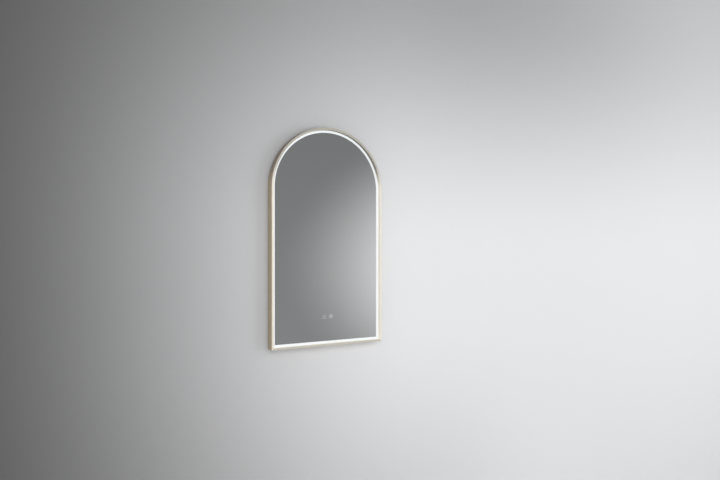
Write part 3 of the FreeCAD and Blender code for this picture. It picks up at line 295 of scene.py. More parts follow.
class ShaderNet:
    """Node net of a material or of the world, with one method that adds any node."""

    def __init__(self, tree: bpy.types.NodeTree) -> None:
        """Empties a node tree.

        Args:
            tree: Node tree of a material or a world.
        """
        self.tree = tree
        tree.nodes.clear()

    def add(
        self,
        kind: str,
        settings: Optional[Mapping[str, object]] = None,
        values: Optional[Mapping[Union[str, int], Input]] = None,
    ) -> bpy.types.Node:
        """Adds a node, sets it up, then fills or links its inputs.

        Args:
            kind: The node's type.
            settings: Its properties.
            values: Its inputs by name or number, as constants, signals or sockets.

        Returns:
            The node.
        """
        node = self.tree.nodes.new(kind)
        for name, value in (settings or {}).items():
            setattr(node, name, value)
        for key, value in (values or {}).items():
            if isinstance(value, Signal):
                value = value.socket
            if isinstance(value, bpy.types.NodeSocket):
                self.tree.links.new(value, node.inputs[key])
            elif isinstance(value, tuple) and node.inputs[key].type == "RGBA":
                node.inputs[key].default_value = opaque(value)
            else:
                node.inputs[key].default_value = value
        return node

    def place(self) -> bpy.types.NodeSocket:
        """Position in the object's own metres."""
        return self.add("ShaderNodeTexCoord").outputs["Object"]

    def run(self, map_name: str) -> bpy.types.NodeSocket:
        """Position along and across a piece, from its own map."""
        return self.add("ShaderNodeUVMap", {"uv_map": map_name}).outputs["UV"]

    def parts(self, vector: bpy.types.NodeSocket) -> tuple[Signal, Signal, Signal]:
        """Splits a vector into its three numbers."""
        node = self.add("ShaderNodeSeparateXYZ", None, {0: vector})
        return tuple(Signal(self, output) for output in node.outputs)

    def facing(self) -> tuple[Signal, Signal, Signal]:
        """The surface's own direction, in three numbers."""
        return self.parts(self.add("ShaderNodeNewGeometry").outputs["Normal"])

    def stretched(self, vector: bpy.types.NodeSocket, scale: Sequence[float]) -> bpy.types.NodeSocket:
        """Scales a position along each axis.

        Args:
            vector: Position.
            scale: Factor along each axis.

        Returns:
            The scaled position.
        """
        return self.add("ShaderNodeMapping", None, {"Vector": vector, "Scale": scale}).outputs[0]

    def noise(self, vector: bpy.types.NodeSocket, grain: Grain) -> Signal:
        """Cloudy noise from 0 to 1.

        Args:
            vector: Position that it follows.
            grain: Its scale and detail.

        Returns:
            The noise.
        """
        values = {"Vector": vector, "Scale": grain.scale, "Detail": grain.detail}
        return Signal(self, self.add("ShaderNodeTexNoise", None, values).outputs[0])

    def cells(self, vector: bpy.types.NodeSocket, scale: float) -> Signal:
        """Distance to the middle of the nearest of many cells.

        Args:
            vector: Position that it follows.
            scale: Cells in a metre.

        Returns:
            The distance.
        """
        node = self.add("ShaderNodeTexVoronoi", None, {"Vector": vector, "Scale": scale})
        return Signal(self, node.outputs["Distance"])

    def bands(self, vector: bpy.types.NodeSocket, scale: float, axis: Axis) -> Signal:
        """Even bands across one axis.

        Args:
            vector: Position that they follow.
            scale: The wave texture's scale.
            axis: The axis.

        Returns:
            The bands, from 0 to 1.
        """
        settings = {"bands_direction": axis.value}
        node = self.add("ShaderNodeTexWave", settings, {"Vector": vector, "Scale": scale})
        return Signal(self, node.outputs[1])

    def swung(self, middle: float, *patterns: tuple[Signal, float]) -> Signal:
        """Lets patterns swing a value about its middle.

        Args:
            middle: The value where every pattern is halfway.
            patterns: Patterns from 0 to 1, each with the whole swing that it gives.

        Returns:
            The value.
        """
        first, *others = (pattern * swing for pattern, swing in patterns)
        return sum(others, first) + (middle - sum(swing for _, swing in patterns) / 2)

    def blend(self, factor: Number, first: Paint, second: Paint) -> bpy.types.NodeSocket:
        """Mixes two colours.

        Args:
            factor: Share of the second.
            first: Colour at 0.
            second: Colour at 1.

        Returns:
            The mixed colour.
        """
        values = {0: factor, MIX_FIRST: first, MIX_SECOND: second}
        return self.add("ShaderNodeMix", {"data_type": "RGBA"}, values).outputs[MIX_RESULT]

    def tint(self, share: Signal, colour: Paint, shade: float) -> bpy.types.NodeSocket:
        """Darkens a colour by place.

        Args:
            share: Where it darkens, from 0 to 1.
            colour: The colour.
            shade: What is left of its brightness where the share is 1.

        Returns:
            The tinted colour.
        """
        settings = {"data_type": "RGBA", "blend_type": "MULTIPLY"}
        values = {0: share, MIX_FIRST: colour, MIX_SECOND: (shade,) * 3}
        return self.add("ShaderNodeMix", settings, values).outputs[MIX_RESULT]

    def relief(self, height: Signal, relief: Relief) -> bpy.types.NodeSocket:
        """Bump from a height signal.

        Args:
            height: Height from 0 to 1.
            relief: What 1 stands for, and the share of it that shows.

        Returns:
            The bumped direction, for a Normal socket.
        """
        values = {"Height": height, "Distance": relief.depth, "Strength": relief.strength}
        return self.add("ShaderNodeBump", None, values).outputs[0]

    def surface(self, values: Mapping[str, Input]) -> bpy.types.NodeSocket:
        """Principled surface with the given inputs."""
        return self.add("ShaderNodeBsdfPrincipled", None, values).outputs[0]

    def close(self, shader: bpy.types.NodeSocket, output: Output) -> None:
        """Sends a shader to the output."""
        self.add(output.value, None, {"Surface": shader})


# ---------------------------------------------------------------- finishes


@dataclass(frozen=True)
class Finish:
    """A surface finish. Each kind describes its own nodes in `describe`."""

    name: str

    def describe(self, net: ShaderNet) -> bpy.types.NodeSocket:
        """Builds the finish's nodes.

        Args:
            net: Empty node net.

        Returns:
            The shader.
        """
        raise NotImplementedError

    def material(self) -> bpy.types.Material:
        """Makes the material, unless it was made before.

        Returns:
            The material.
        """
        made = bpy.data.materials.get(self.name)
        if made is None:
            made = bpy.data.materials.new(self.name)
            made.use_nodes = True
            net = ShaderNet(made.node_tree)
            net.close(self.describe(net), Output.MATERIAL)
        return made


@dataclass(frozen=True)
class BrushedMetal(Finish):
    """Anodised metal brushed along the extrusion.

    The run map holds metres along and across the extrusion. The turn map says how level the brushing
    runs, for the whole frame and for its arch alone. There the colour is multiplied down as painted
    shade, which stands in for brushed metal looking darker under a light that comes from the side. The
    painted glow is an emission that stands in for light thrown onto the face, and it fades out over the
    arch.
    """

    light: Colour
    dark: Colour
    roughness: float
    metallic: float
    # What is left of the colour under the painted shade, where the brushing runs level and on the arch.
    level_painted_shade: float = 1.0
    arch_painted_shade: float = 1.0
    # Painted glow: emission on the face that stands in for light thrown onto it by the lit band and the
    # room.
    painted_glow: Colour = (0.0, 0.0, 0.0)
    run_map: str = "run"
    painted_light_map: str = "turn"
    turn_span: Span = (0.0, 0.45)
    hairlines: Sequence[float] = (9.0, 4200.0, 1.0)
    hairline_grain: Grain = Grain(1.0)
    streaks: Sequence[float] = (3.0, 840.0, 1.0)
    streak_grain: Grain = Grain(1.0, 1.0)
    streak_share: float = 0.25
    tone_span: Span = (0.25, 0.75)
    roughness_swing: float = 0.14
    scratches: Relief = Relief(0.00002, 0.5)

    def describe(self, net: ShaderNet) -> bpy.types.NodeSocket:
        """Builds hairlines over an even tone, darker where they run level.

        Args:
            net: Empty node net.

        Returns:
            The shader.
        """
        run = net.run(self.run_map)
        fine = net.noise(net.stretched(run, self.hairlines), self.hairline_grain)
        wide = net.noise(net.stretched(run, self.streaks), self.streak_grain)
        brushing = fine * (1 - self.streak_share) + wide * self.streak_share
        tone = net.blend(brushing.ramp(*self.tone_span), self.light, self.dark)
        # Painted shade: the colour darkens where the brushing runs level and on the arch; the painted
        # glow fades out on the arch.
        turns = net.parts(net.run(self.painted_light_map))[:2]
        level, arch = (turn.ramp(*self.turn_span) for turn in turns)
        return net.surface(
            {
                "Base Color": net.tint(arch, net.tint(level, tone, self.level_painted_shade), self.arch_painted_shade),
                "Metallic": self.metallic,
                "Roughness": net.swung(self.roughness, (fine, self.roughness_swing)),
                "Normal": net.relief(brushing, self.scratches),
                "Emission Color": net.tint(arch, self.painted_glow, 0.0),
                "Emission Strength": 1.0,
            }
        )


@dataclass(frozen=True)
class OpalLight(Finish):
    """Opal plastic, lit evenly from behind, whose glow changes a little along its length."""

    glow: Colour
    strength: float
    body: Colour = linear(160, 163, 163)
    clouds: Grain = Grain(9.0)
    cloud_span: Span = (0.3, 0.7)
    least: float = 0.965
    frost: Grain = Grain(1400.0)
    roughness: float = 0.47
    roughness_swing: float = 0.1
    skin: Relief = Relief(0.00001, 0.3)

    def describe(self, net: ShaderNet) -> bpy.types.NodeSocket:
        """Builds a milky surface that glows.

        Args:
            net: Empty node net.

        Returns:
            The shader.
        """
        place = net.place()
        clouds, frost = net.noise(place, self.clouds), net.noise(place, self.frost)
        glow = net.blend(clouds.ramp(*self.cloud_span), self.glow, dimmed(self.glow, self.least))
        return net.surface(
            {
                "Base Color": self.body,
                "Roughness": net.swung(self.roughness, (frost, self.roughness_swing)),
                "Emission Color": glow,
                "Emission Strength": self.strength,
                "Normal": net.relief(frost, self.skin),
            }
        )


@dataclass(frozen=True)
class LitSign(Finish):
    """Clear place in the silver with a lamp behind it."""

    glow: Colour
    strength: float
    body: Colour = linear(150, 154, 156)
    frost: Grain = Grain(600.0)
    frost_span: Span = (0.3, 0.7)
    least: float = 0.9
    roughness: float = 0.35
    roughness_swing: float = 0.1

    def describe(self, net: ShaderNet) -> bpy.types.NodeSocket:
        """Builds a frosted, softly lit surface.

        Args:
            net: Empty node net.

        Returns:
            The shader.
        """
        frost = net.noise(net.place(), self.frost)
        glow = net.blend(frost.ramp(*self.frost_span), self.glow, dimmed(self.glow, self.least))
        return net.surface(
            {
                "Base Color": self.body,
                "Roughness": net.swung(self.roughness, (frost, self.roughness_swing)),
                "Emission Color": glow,
                "Emission Strength": self.strength,
            }
        )


@dataclass(frozen=True)
class Halo:
    """Painted glow round a sign on the glass: its place on the glass and its reach, in metres, and its
    strength.
    """

    x: float
    z: float
    reach: float
    strength: float


@dataclass(frozen=True)
class SilveredGlass(Finish):
    """Mirror glass: silver from the front, green at its ground edge, painted at the back."""

    silver: Colour
    halos: tuple[Halo, ...] = ()
    edge: Colour = linear(96, 128, 116)
    back: Colour = linear(112, 118, 122)
    glow: Colour = (1.0, 1.0, 1.0)
    dark: Colour = (0.0, 0.0, 0.0)
    flat_face: Span = (0.7, 0.8)
    haze: Grain = Grain(3.0, 4.0)
    haze_swing: float = 0.012
    silver_roughness: float = 0.012
    ground: Grain = Grain(900.0)
    ground_swing: float = 0.1
    edge_roughness: float = 0.25

    def _halo_light(self, net: ShaderNet) -> Number:
        """Light of all halos at a place on the glass.

        Args:
            net: Node net.

        Returns:
            The light's strength.
        """
        x, _, z = net.parts(net.place())
        light: Number = 0.0
        for halo in self.halos:
            aside, above = x - halo.x, z - halo.z
            away = (aside * aside + above * above).root()
            light = away.ramp(halo.reach, 0.0) * halo.strength + light
        return light

    def describe(self, net: ShaderNet) -> bpy.types.NodeSocket:
        """Builds the three faces by the way each one looks.

        Args:
            net: Empty node net.

        Returns:
            The shader.
        """
        _, across, _ = net.facing()
        front = (across * -1.0).ramp(*self.flat_face)
        rear = across.ramp(*self.flat_face)
        haze, ground = net.noise(net.place(), self.haze), net.noise(net.place(), self.ground)
        side = net.blend(rear, self.edge, self.back)
        rough_edge = (1 - front) * (ground * self.ground_swing + self.edge_roughness)
        return net.surface(
            {
                "Base Color": net.blend(front, side, self.silver),
                # Painted glow: the halos' emission on the glass round the signs.
                "Emission Color": net.blend(self._halo_light(net) * front, self.dark, self.glow),
                "Emission Strength": 1.0,
                "Metallic": front,
                "Roughness": rough_edge + front * haze * self.haze_swing + self.silver_roughness,
            }
        )


@dataclass(frozen=True)
class PowderCoat(Finish):
    """Baked powder paint with its orange-peel skin, a few flecks and a faint handling haze."""

    colour: Colour
    fleck: Colour
    roughness: float = 0.5
    peel: Grain = Grain(620.0, 1.0)
    peel_swing: float = 0.06
    flecks: Grain = Grain(2600.0, 0.0)
    fleck_span: Span = (0.62, 0.74)
    fleck_share: float = 0.5
    haze: Grain = Grain(6.0, 4.0)
    haze_span: Span = (0.35, 0.7)
    haze_share: float = 0.35
    haze_swing: float = 0.14
    skin: Relief = Relief(0.00012, 0.35)

    def describe(self, net: ShaderNet) -> bpy.types.NodeSocket:
        """Builds the peel, the flecks and the haze.

        Args:
            net: Empty node net.

        Returns:
            The shader.
        """
        place = net.place()
        peel, haze = net.noise(place, self.peel), net.noise(place, self.haze)
        fleck = net.noise(place, self.flecks).ramp(*self.fleck_span)
        tone = net.blend(haze.ramp(*self.haze_span) * self.haze_share, self.colour, self.fleck)
        return net.surface(
            {
                "Base Color": net.blend(fleck * self.fleck_share, tone, self.fleck),
                "Roughness": net.swung(self.roughness, (haze, self.haze_swing), (peel, self.peel_swing)),
                "Normal": net.relief(peel, self.skin),
            }
        )


@dataclass(frozen=True)
class ZincPlate(Finish):
    """Bare or plated metal: slow clouds, fine marks from rolling or turning, and small dull spots."""

    light: Colour
    dark: Colour
    roughness: float = 0.39
    rolled: Sequence[float] = (8.0, 900.0, 900.0)
    metallic: float = 0.9
    clouds: Grain = Grain(28.0, 3.0)
    cloud_span: Span = (0.3, 0.72)
    mark_grain: Grain = Grain(1.0)
    mark_swing: float = 0.12
    marks: Relief = Relief(0.00004, 0.35)
    spots: Grain = Grain(420.0, 1.0)
    spot_span: Span = (0.6, 0.72)
    spot_share: float = 0.4
    spot_swing: float = 0.1

    def describe(self, net: ShaderNet) -> bpy.types.NodeSocket:
        """Builds the clouds, the marks and the spots.

        Args:
            net: Empty node net.

        Returns:
            The shader.
        """
        place = net.place()
        clouds = net.noise(place, self.clouds)
        marks = net.noise(net.stretched(place, self.rolled), self.mark_grain)
        spots = net.noise(place, self.spots).ramp(*self.spot_span)
        tone = net.blend(clouds.ramp(*self.cloud_span), self.light, self.dark)
        swings = (clouds, self.mark_swing), (marks, self.mark_swing), (spots, self.spot_swing)
        return net.surface(
            {
                "Base Color": net.blend(spots * self.spot_share, tone, self.dark),
                "Metallic": self.metallic,
                "Roughness": net.swung(self.roughness, *swings),
                "Normal": net.relief(marks, self.marks),
            }
        )


@dataclass(frozen=True)
class Moulded(Finish):
    """Moulded plastic: a fine skin under slow clouds between two tones."""

    colour: Colour
    worn: Colour
    roughness: float = 0.48
    clouds: Grain = Grain(24.0)
    cloud_span: Span = (0.3, 0.75)
    cloud_swing: float = 0.08
    grain: Grain = Grain(1500.0, 1.0)
    grain_swing: float = 0.12
    skin: Relief = Relief(0.00005, 0.4)

    def describe(self, net: ShaderNet) -> bpy.types.NodeSocket:
        """Builds the clouds and the skin's grain.

        Args:
            net: Empty node net.

        Returns:
            The shader.
        """
        place = net.place()
        clouds, grain = net.noise(place, self.clouds), net.noise(place, self.grain)
        swings = (clouds, self.cloud_swing), (grain, self.grain_swing)
        return net.surface(
            {
                "Base Color": net.blend(clouds.ramp(*self.cloud_span), self.colour, self.worn),
                "Roughness": net.swung(self.roughness, *swings),
                "Normal": net.relief(grain, self.skin),
            }
        )


@dataclass(frozen=True)
class Rubber(Moulded):
    """Dull elastomer or sintered block with a little pale bloom on it."""

    roughness: float = 0.73
    clouds: Grain = Grain(70.0, 4.0)
    cloud_span: Span = (0.45, 0.8)
    cloud_swing: float = 0.12
    grain: Grain = Grain(1900.0)
    grain_swing: float = 0.1
    skin: Relief = Relief(0.00006, 0.5)


@dataclass(frozen=True)
class CableSheath(Moulded):
    """Soft plastic sheath of a lead."""

    roughness: float = 0.44
    clouds: Grain = Grain(90.0, 3.0)
    cloud_swing: float = 0.1
    grain: Grain = Grain(2200.0)
    grain_swing: float = 0.06
    skin: Relief = Relief(0.00003, 0.3)


@dataclass(frozen=True)
class StripedSheath(Finish):
    """Earth lead's sheath, with one stripe along each side."""

    ground: Colour
    stripe: Colour
    lean: Span = (0.8, 0.6)
    stripe_span: Span = (0.3, 0.4)
    grain: Grain = Grain(2200.0)
    roughness: float = 0.42
    roughness_swing: float = 0.08
    skin: Relief = Relief(0.00003, 0.3)

    def describe(self, net: ShaderNet) -> bpy.types.NodeSocket:
        """Builds the stripe by the way the sheath faces.

        Args:
            net: Empty node net.

        Returns:
            The shader.
        """
        across, deep, _ = net.facing()
        sideways, backwards = self.lean
        stripe = (across * sideways + deep * backwards).ramp(*self.stripe_span)
        grain = net.noise(net.place(), self.grain)
        return net.surface(
            {
                "Base Color": net.blend(stripe, self.ground, self.stripe),
                "Roughness": net.swung(self.roughness, (grain, self.roughness_swing)),
                "Normal": net.relief(grain, self.skin),
            }
        )


@dataclass(frozen=True)
class Foam(Finish):
    """Closed-cell foam: small cells with darker middles."""

    colour: Colour
    cell: Colour
    cells_per_metre: float = 1300.0
    cell_span: Span = (0.05, 0.6)
    roughness: float = 0.87
    roughness_swing: float = 0.1
    skin: Relief = Relief(0.0002, 0.6)

    def describe(self, net: ShaderNet) -> bpy.types.NodeSocket:
        """Builds the cells.

        Args:
            net: Empty node net.

        Returns:
            The shader.
        """
        cells = net.cells(net.place(), self.cells_per_metre)
        return net.surface(
            {
                "Base Color": net.blend(cells.ramp(*self.cell_span), self.cell, self.colour),
                "Roughness": net.swung(self.roughness, (cells, self.roughness_swing)),
                "Normal": net.relief(cells, self.skin),
            }
        )


@dataclass(frozen=True)
class CircuitBoard(Finish):
    """Board with solder mask over two sets of raised tracks."""

    mask: Colour
    track: Colour
    tracks_up: float = 120.0
    up_span: Span = (0.7, 0.8)
    tracks_along: float = 40.0
    along_span: Span = (0.9, 0.95)
    track_share: float = 0.7
    grain: Grain = Grain(1800.0)
    roughness: float = 0.32
    roughness_swing: float = 0.1
    copper: Relief = Relief(0.00004, 0.5)

    def describe(self, net: ShaderNet) -> bpy.types.NodeSocket:
        """Builds the tracks under the mask.

        Args:
            net: Empty node net.

        Returns:
            The shader.
        """
        place = net.place()
        across = net.bands(place, self.tracks_up, Axis.Z).ramp(*self.up_span)
        along = net.bands(place, self.tracks_along, Axis.X).ramp(*self.along_span)
        track = across * (1 - along) + along
        grain = net.noise(place, self.grain)
        return net.surface(
            {
                "Base Color": net.blend(track * self.track_share, self.mask, self.track),
                "Roughness": net.swung(self.roughness, (grain, self.roughness_swing)),
                "Normal": net.relief(track, self.copper),
            }
        )


@dataclass(frozen=True)
class HeatingFilm(Finish):
    """Clear film with printed silver-grey heating lines."""

    film: Colour
    line: Colour
    lines: float = 45.0
    line_span: Span = (0.55, 0.65)
    line_metallic: float = 0.5
    line_rise: float = 0.1
    line_swing: float = 0.1
    waves: Grain = Grain(30.0)
    wave_swing: float = 0.12
    roughness: float = 0.35
    skin: Relief = Relief(0.0002, 0.3)

    def describe(self, net: ShaderNet) -> bpy.types.NodeSocket:
        """Builds the printed lines and the film's faint waves.

        Args:
            net: Empty node net.

        Returns:
            The shader.
        """
        place = net.place()
        line = net.bands(place, self.lines, Axis.Z).ramp(*self.line_span)
        wave = net.noise(place, self.waves)
        return net.surface(
            {
                "Base Color": net.blend(line, self.film, self.line),
                "Metallic": line * self.line_metallic,
                "Roughness": net.swung(self.roughness, (wave, self.wave_swing), (line, self.line_swing)),
                "Normal": net.relief(wave + line * self.line_rise, self.skin),
            }
        )


# One brushed champagne in three copies. The outside takes painted shade where its brushing runs level.
# The lip and the return are paler copies with painted light: lighter colours and painted glow, most on
# the return, which faces the lit band; the return's arch takes painted shade.
CHAMPAGNE = BrushedMetal(
    "champagne_brushed", linear(217, 200, 172), linear(207, 189, 159),
    roughness=0.3, metallic=0.94, level_painted_shade=0.52,
)
CHAMPAGNE_LIP = BrushedMetal(
    "champagne_lip", linear(254, 249, 236), linear(248, 241, 225),
    roughness=0.3, metallic=0.28, level_painted_shade=0.6, painted_glow=(0.03, 0.029, 0.027),
)
CHAMPAGNE_RETURN = BrushedMetal(
    "champagne_return", linear(242, 237, 224), linear(234, 228, 212),
    roughness=0.55, metallic=0.28, arch_painted_shade=0.32, painted_glow=(0.26, 0.253, 0.236),
)
POWDER = PowderCoat("cover_powder_coat", linear(206, 208, 207), linear(172, 175, 176))
SCREW_ZINC = ZincPlate(
    "screw_zinc_plate", linear(214, 216, 218), linear(176, 178, 176), roughness=0.35
)
BLACK_RUBBER = Rubber("black_rubber_skin", linear(30, 30, 31), linear(62, 62, 62))
# Painted glow round the two signs.
SIGN_HALOS = tuple(
    Halo(side * METRES_PER_MM, SIGN_LEVEL * METRES_PER_MM, reach, strength)
    for side, reach, strength in ((SIGN_SIDE, 0.013, 0.07), (-SIGN_SIDE, 0.014, 0.045))
)

SLOT_FINISHES: Mapping[Slot, Finish] = {
    Slot.CHAMPAGNE: CHAMPAGNE,
    Slot.KEY_ZINC: ZincPlate(
        "key_die_cast", linear(190, 191, 190), linear(150, 151, 152),
        roughness=0.5, rolled=(90.0, 90.0, 90.0),
    ),
    Slot.OPAL: OpalLight("opal_lit", linear(248, 252, 254), strength=0.63),
    Slot.MIRROR: SilveredGlass("silvered_glass", (0.868, 0.886, 0.894), SIGN_HALOS),
    Slot.BACKING: Moulded(
        "backing_film_skin", linear(126, 134, 140), linear(112, 119, 126),
        roughness=0.5, grain=Grain(500.0, 1.0),
    ),
    Slot.HEATING: HeatingFilm("heating_film_print", linear(214, 196, 150), linear(128, 126, 122)),
    Slot.WHITE_PLASTIC: Moulded("white_moulded", linear(232, 232, 228), linear(220, 219, 213)),
    Slot.BLACK_PLASTIC: Moulded("black_moulded", linear(38, 39, 41), linear(50, 51, 53)),
    Slot.TAPE: Foam("white_foam_tape", linear(222, 222, 218), linear(196, 196, 192)),
    Slot.TRAY: ZincPlate(
        "tray_mill_finish", linear(206, 208, 210), linear(184, 186, 189), roughness=0.41
    ),
    Slot.COVER: POWDER,
    Slot.BRACKET: ZincPlate("bracket_zinc_plate", linear(200, 203, 206), linear(182, 185, 188)),
    Slot.SCREW: SCREW_ZINC,
    Slot.SEAL: Foam("black_foam_seal", linear(44, 44, 45), linear(24, 24, 25)),
    Slot.RUBBER: BLACK_RUBBER,
    Slot.STRIP: OpalLight(
        "light_strip_lit", linear(255, 246, 226), strength=0.6, body=linear(240, 238, 230)
    ),
    Slot.BOARD: CircuitBoard("board_green_mask", linear(28, 92, 62), linear(52, 128, 84)),
    Slot.LAMP: LitSign("lamp_lens_lit", linear(250, 250, 244), strength=0.8),
    Slot.FERRITE: Rubber("ferrite_sinter", linear(48, 47, 48), linear(78, 76, 74)),
    Slot.SLEEVE: Moulded(
        "capacitor_shrink_sleeve", linear(36, 52, 92), linear(46, 64, 108), roughness=0.3
    ),
    Slot.BRASS: ZincPlate(
        "brass_turned", linear(204, 172, 98), linear(164, 132, 68),
        roughness=0.37, rolled=(400.0, 400.0, 60.0),
    ),
    Slot.GREY_LEAD: CableSheath("grey_lead_sheath", linear(150, 152, 154), linear(132, 134, 137)),
    Slot.WHITE_LEAD: CableSheath("white_lead_sheath", linear(228, 228, 224), linear(208, 208, 204)),
    Slot.EARTH_LEAD: StripedSheath("earth_lead_sheath", linear(66, 142, 64), linear(226, 206, 52)),
}


# ---------------------------------------------------------------- mesh making


class Workpiece:
    """A mesh in the making, in millimetres, shaped by bmesh operators."""

    def __init__(self) -> None:
        """Starts empty."""
        self.mesh = bmesh.new()

    def outline(
        self, corners: Iterable[Place], radii: Union[float, Sequence[float]] = 0.0, segments: int = 3
    ) -> list[BMEdge]:
        """Draws a closed outline with rounded corners in the X-Y plane.

        Args:
            corners: Corners in order.
            radii: One radius for all corners, or one for each.
            segments: Segments in each rounded corner.

        Returns:
            The outline's edges.
        """
        before = set(self.mesh.edges)
        verts = [self.mesh.verts.new((x, y, 0)) for x, y in corners]
        self.mesh.faces.new(verts)
        sizes = [radii] * len(verts) if isinstance(radii, (int, float)) else radii
        for vert, radius in zip(verts, sizes):
            if radius:
                bmesh.ops.bevel(
                    self.mesh,
                    geom=[vert],
                    affect="VERTICES",
                    offset_type="OFFSET",
                    offset=radius,
                    segments=segments,
                    profile=ROUND_PROFILE,
                    material=-1,
                )
        bmesh.ops.delete(self.mesh, geom=self.mesh.faces[:], context="FACES_ONLY")
        return [edge for edge in self.mesh.edges if edge not in before]

    def fill(self, edges: Sequence[BMEdge]) -> list[BMFace]:
        """Fills between outlines, leaving inner outlines open."""
        made = bmesh.ops.triangle_fill(self.mesh, use_beauty=True, use_dissolve=False, edges=edges)
        return [item for item in made["geom"] if isinstance(item, BMFace)]

    def disc_face(self, edges: Sequence[BMEdge]) -> list[BMFace]:
        """Closes one outline with a single flat face."""
        return bmesh.ops.contextual_create(self.mesh, geom=edges)["faces"]

    def circle(self, radius: float, sides: int) -> list[BMEdge]:
        """Draws a many-sided circle in the X-Y plane."""
        made = bmesh.ops.create_circle(self.mesh, cap_ends=False, segments=sides, radius=radius)
        return list({edge for vert in made["verts"] for edge in vert.link_edges})

    def draw_faces(self, faces: Sequence[BMFace], move: Callable[[Vector], Vector]) -> list[BMFace]:
        """Extrudes faces and puts the new ones where `move` says.

        Args:
            faces: Faces to extrude.
            move: Gives a corner's new place from its old one.

        Returns:
            The new end faces.
        """
        made = bmesh.ops.extrude_face_region(self.mesh, geom=list(faces))["geom"]
        self.place((item for item in made if isinstance(item, BMVert)), move)
        return [item for item in made if isinstance(item, BMFace)]

    def draw_edges(self, edges: Sequence[BMEdge], move: Callable[[Vector], Vector]) -> list[BMEdge]:
        """Extrudes edges and puts the new ones where `move` says.

        Args:
            edges: Edges to extrude.
            move: Gives a corner's new place from its old one.

        Returns:
            The new edges.
        """
        made = bmesh.ops.extrude_edge_only(self.mesh, edges=list(edges))["geom"]
        self.place((item for item in made if isinstance(item, BMVert)), move)
        return [item for item in made if isinstance(item, BMEdge)]

    def turn(
        self, items: Sequence, axis: Vector, angle: float, steps: int, closed: bool = False
    ) -> list:
        """Spins faces, edges or corners round an axis through the origin.

        Args:
            items: Faces, edges or corners.
            axis: The axis's direction.
            angle: Angle in radians.
            steps: Steps over that angle.
            closed: Whether the last step meets the first.

        Returns:
            The same kind of items at the end.
        """
        kind = type(items[0])
        verts = set() if kind is BMVert else {vert for item in items for vert in item.verts}
        edges = {edge for item in items for edge in item.edges} if kind is BMFace else set()
        made = bmesh.ops.spin(
            self.mesh,
            geom=[*items, *edges, *verts],
            cent=(0, 0, 0),
            axis=axis,
            dvec=(0, 0, 0),
            angle=angle,
            steps=steps,
            use_merge=closed,
            use_normal_flip=False,
            use_duplicate=False,
        )
        return [item for item in made["geom_last"] if isinstance(item, kind)]

    def place(self, verts: Iterable[BMVert], where: Callable[[Vector], Vector]) -> None:
        """Puts corners where `where` says."""
        for vert in verts:
            vert.co = where(vert.co.copy())

    def round_edges(self, edges: Sequence[BMEdge], radius: float, segments: int) -> None:
        """Rounds edges with a bevel of the given radius.

        Args:
            edges: Edges to round.
            radius: Radius of the round.
            segments: Segments across it.
        """
        bmesh.ops.bevel(
            self.mesh,
            geom=list(edges),
            affect="EDGES",
            offset_type="OFFSET",
            offset=radius,
            segments=segments,
            profile=ROUND_PROFILE,
            material=-1,
            clamp_overlap=True,
        )

    def repeat(self, places: Sequence[Vector]) -> None:
        """Copies what is there to every place and deletes the first one.

        Args:
            places: How far each copy stands from the first one.
        """
        first = [*self.mesh.verts, *self.mesh.edges, *self.mesh.faces]
        for place in places:
            made = bmesh.ops.duplicate(self.mesh, geom=first)["geom"]
            verts = [item for item in made if isinstance(item, BMVert)]
            bmesh.ops.translate(self.mesh, verts=verts, vec=place)
        bmesh.ops.delete(self.mesh, geom=first, context="VERTS")

    def _mark_edges(self, sharp_turn: float) -> None:
        """Smooths all faces and keeps the sharp turns between them.

        Args:
            sharp_turn: Angle between faces past which their edge stays sharp.
        """
        for face in self.mesh.faces:
            face.smooth = True
        for edge in self.mesh.edges:
            edge.smooth = edge.calc_face_angle(HALF_TURN) < sharp_turn

    def to_object(self, name: str, finishes: Iterable[Finish]) -> bpy.types.Object:
        """Makes the mesh an object in metres and links it to the scene.

        Args:
            name: The object's name.
            finishes: Its finishes, in the order of the faces' numbers.

        Returns:
            The object.
        """
        bmesh.ops.scale(self.mesh, verts=self.mesh.verts[:], vec=(METRES_PER_MM,) * 3)
        data = bpy.data.meshes.new(name)
        self.mesh.to_mesh(data)
        self.mesh.free()
        for finish in finishes:
            data.materials.append(finish.material())
        made = bpy.data.objects.new(name, data)
        bpy.context.scene.collection.objects.link(made)
        return made

    def finish(
        self,
        name: str,
        finish: Finish,
        slot: Slot,
        body: Body,
        nodes: Sequence[str] = (),
        sharp_turn: float = SHARP_TURN,
        more: Sequence[Finish] = (),
    ) -> bpy.types.Object:
        """Closes the mesh, makes it an object, hangs it on its body and hides the CAD nodes that it
        stands for.

        Args:
            name: The piece's name.
            finish: Its finish.
            slot: Material slot that the piece's finish belongs to; not used.
            body: Body that it rides on.
            nodes: CAD nodes that it stands for.
            sharp_turn: Angle between faces past which their edge stays sharp.
            more: Further finishes, for the faces whose number says so.

        Returns:
            The finished piece.
        """
        bmesh.ops.remove_doubles(self.mesh, verts=self.mesh.verts[:], dist=MERGE_DISTANCE)
        bmesh.ops.recalc_face_normals(self.mesh, faces=self.mesh.faces[:])
        self._mark_edges(sharp_turn)
        piece = self.to_object(name, (finish, *more))
        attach(piece, body.value)
        if nodes:
            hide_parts(*nodes)
        return piece


def weigh_normals(piece: bpy.types.Object) -> bpy.types.Object:
    """Keeps the flat faces of a piece flat beside their rounded edges.

    Args:
        piece: Finished piece.

    Returns:
        The same piece.
    """
    modifier = piece.modifiers.new("flat_faces", "WEIGHTED_NORMAL")
    modifier.keep_sharp = True
    return piece


# ---------------------------------------------------------------- sub-assemblies


class Assembly:
    """A sub-assembly. Its sizes are fields, and its `build` makes and dresses its pieces."""

    def build(self) -> list[bpy.types.Object]:
        """Makes the pieces and returns them."""
        raise NotImplementedError


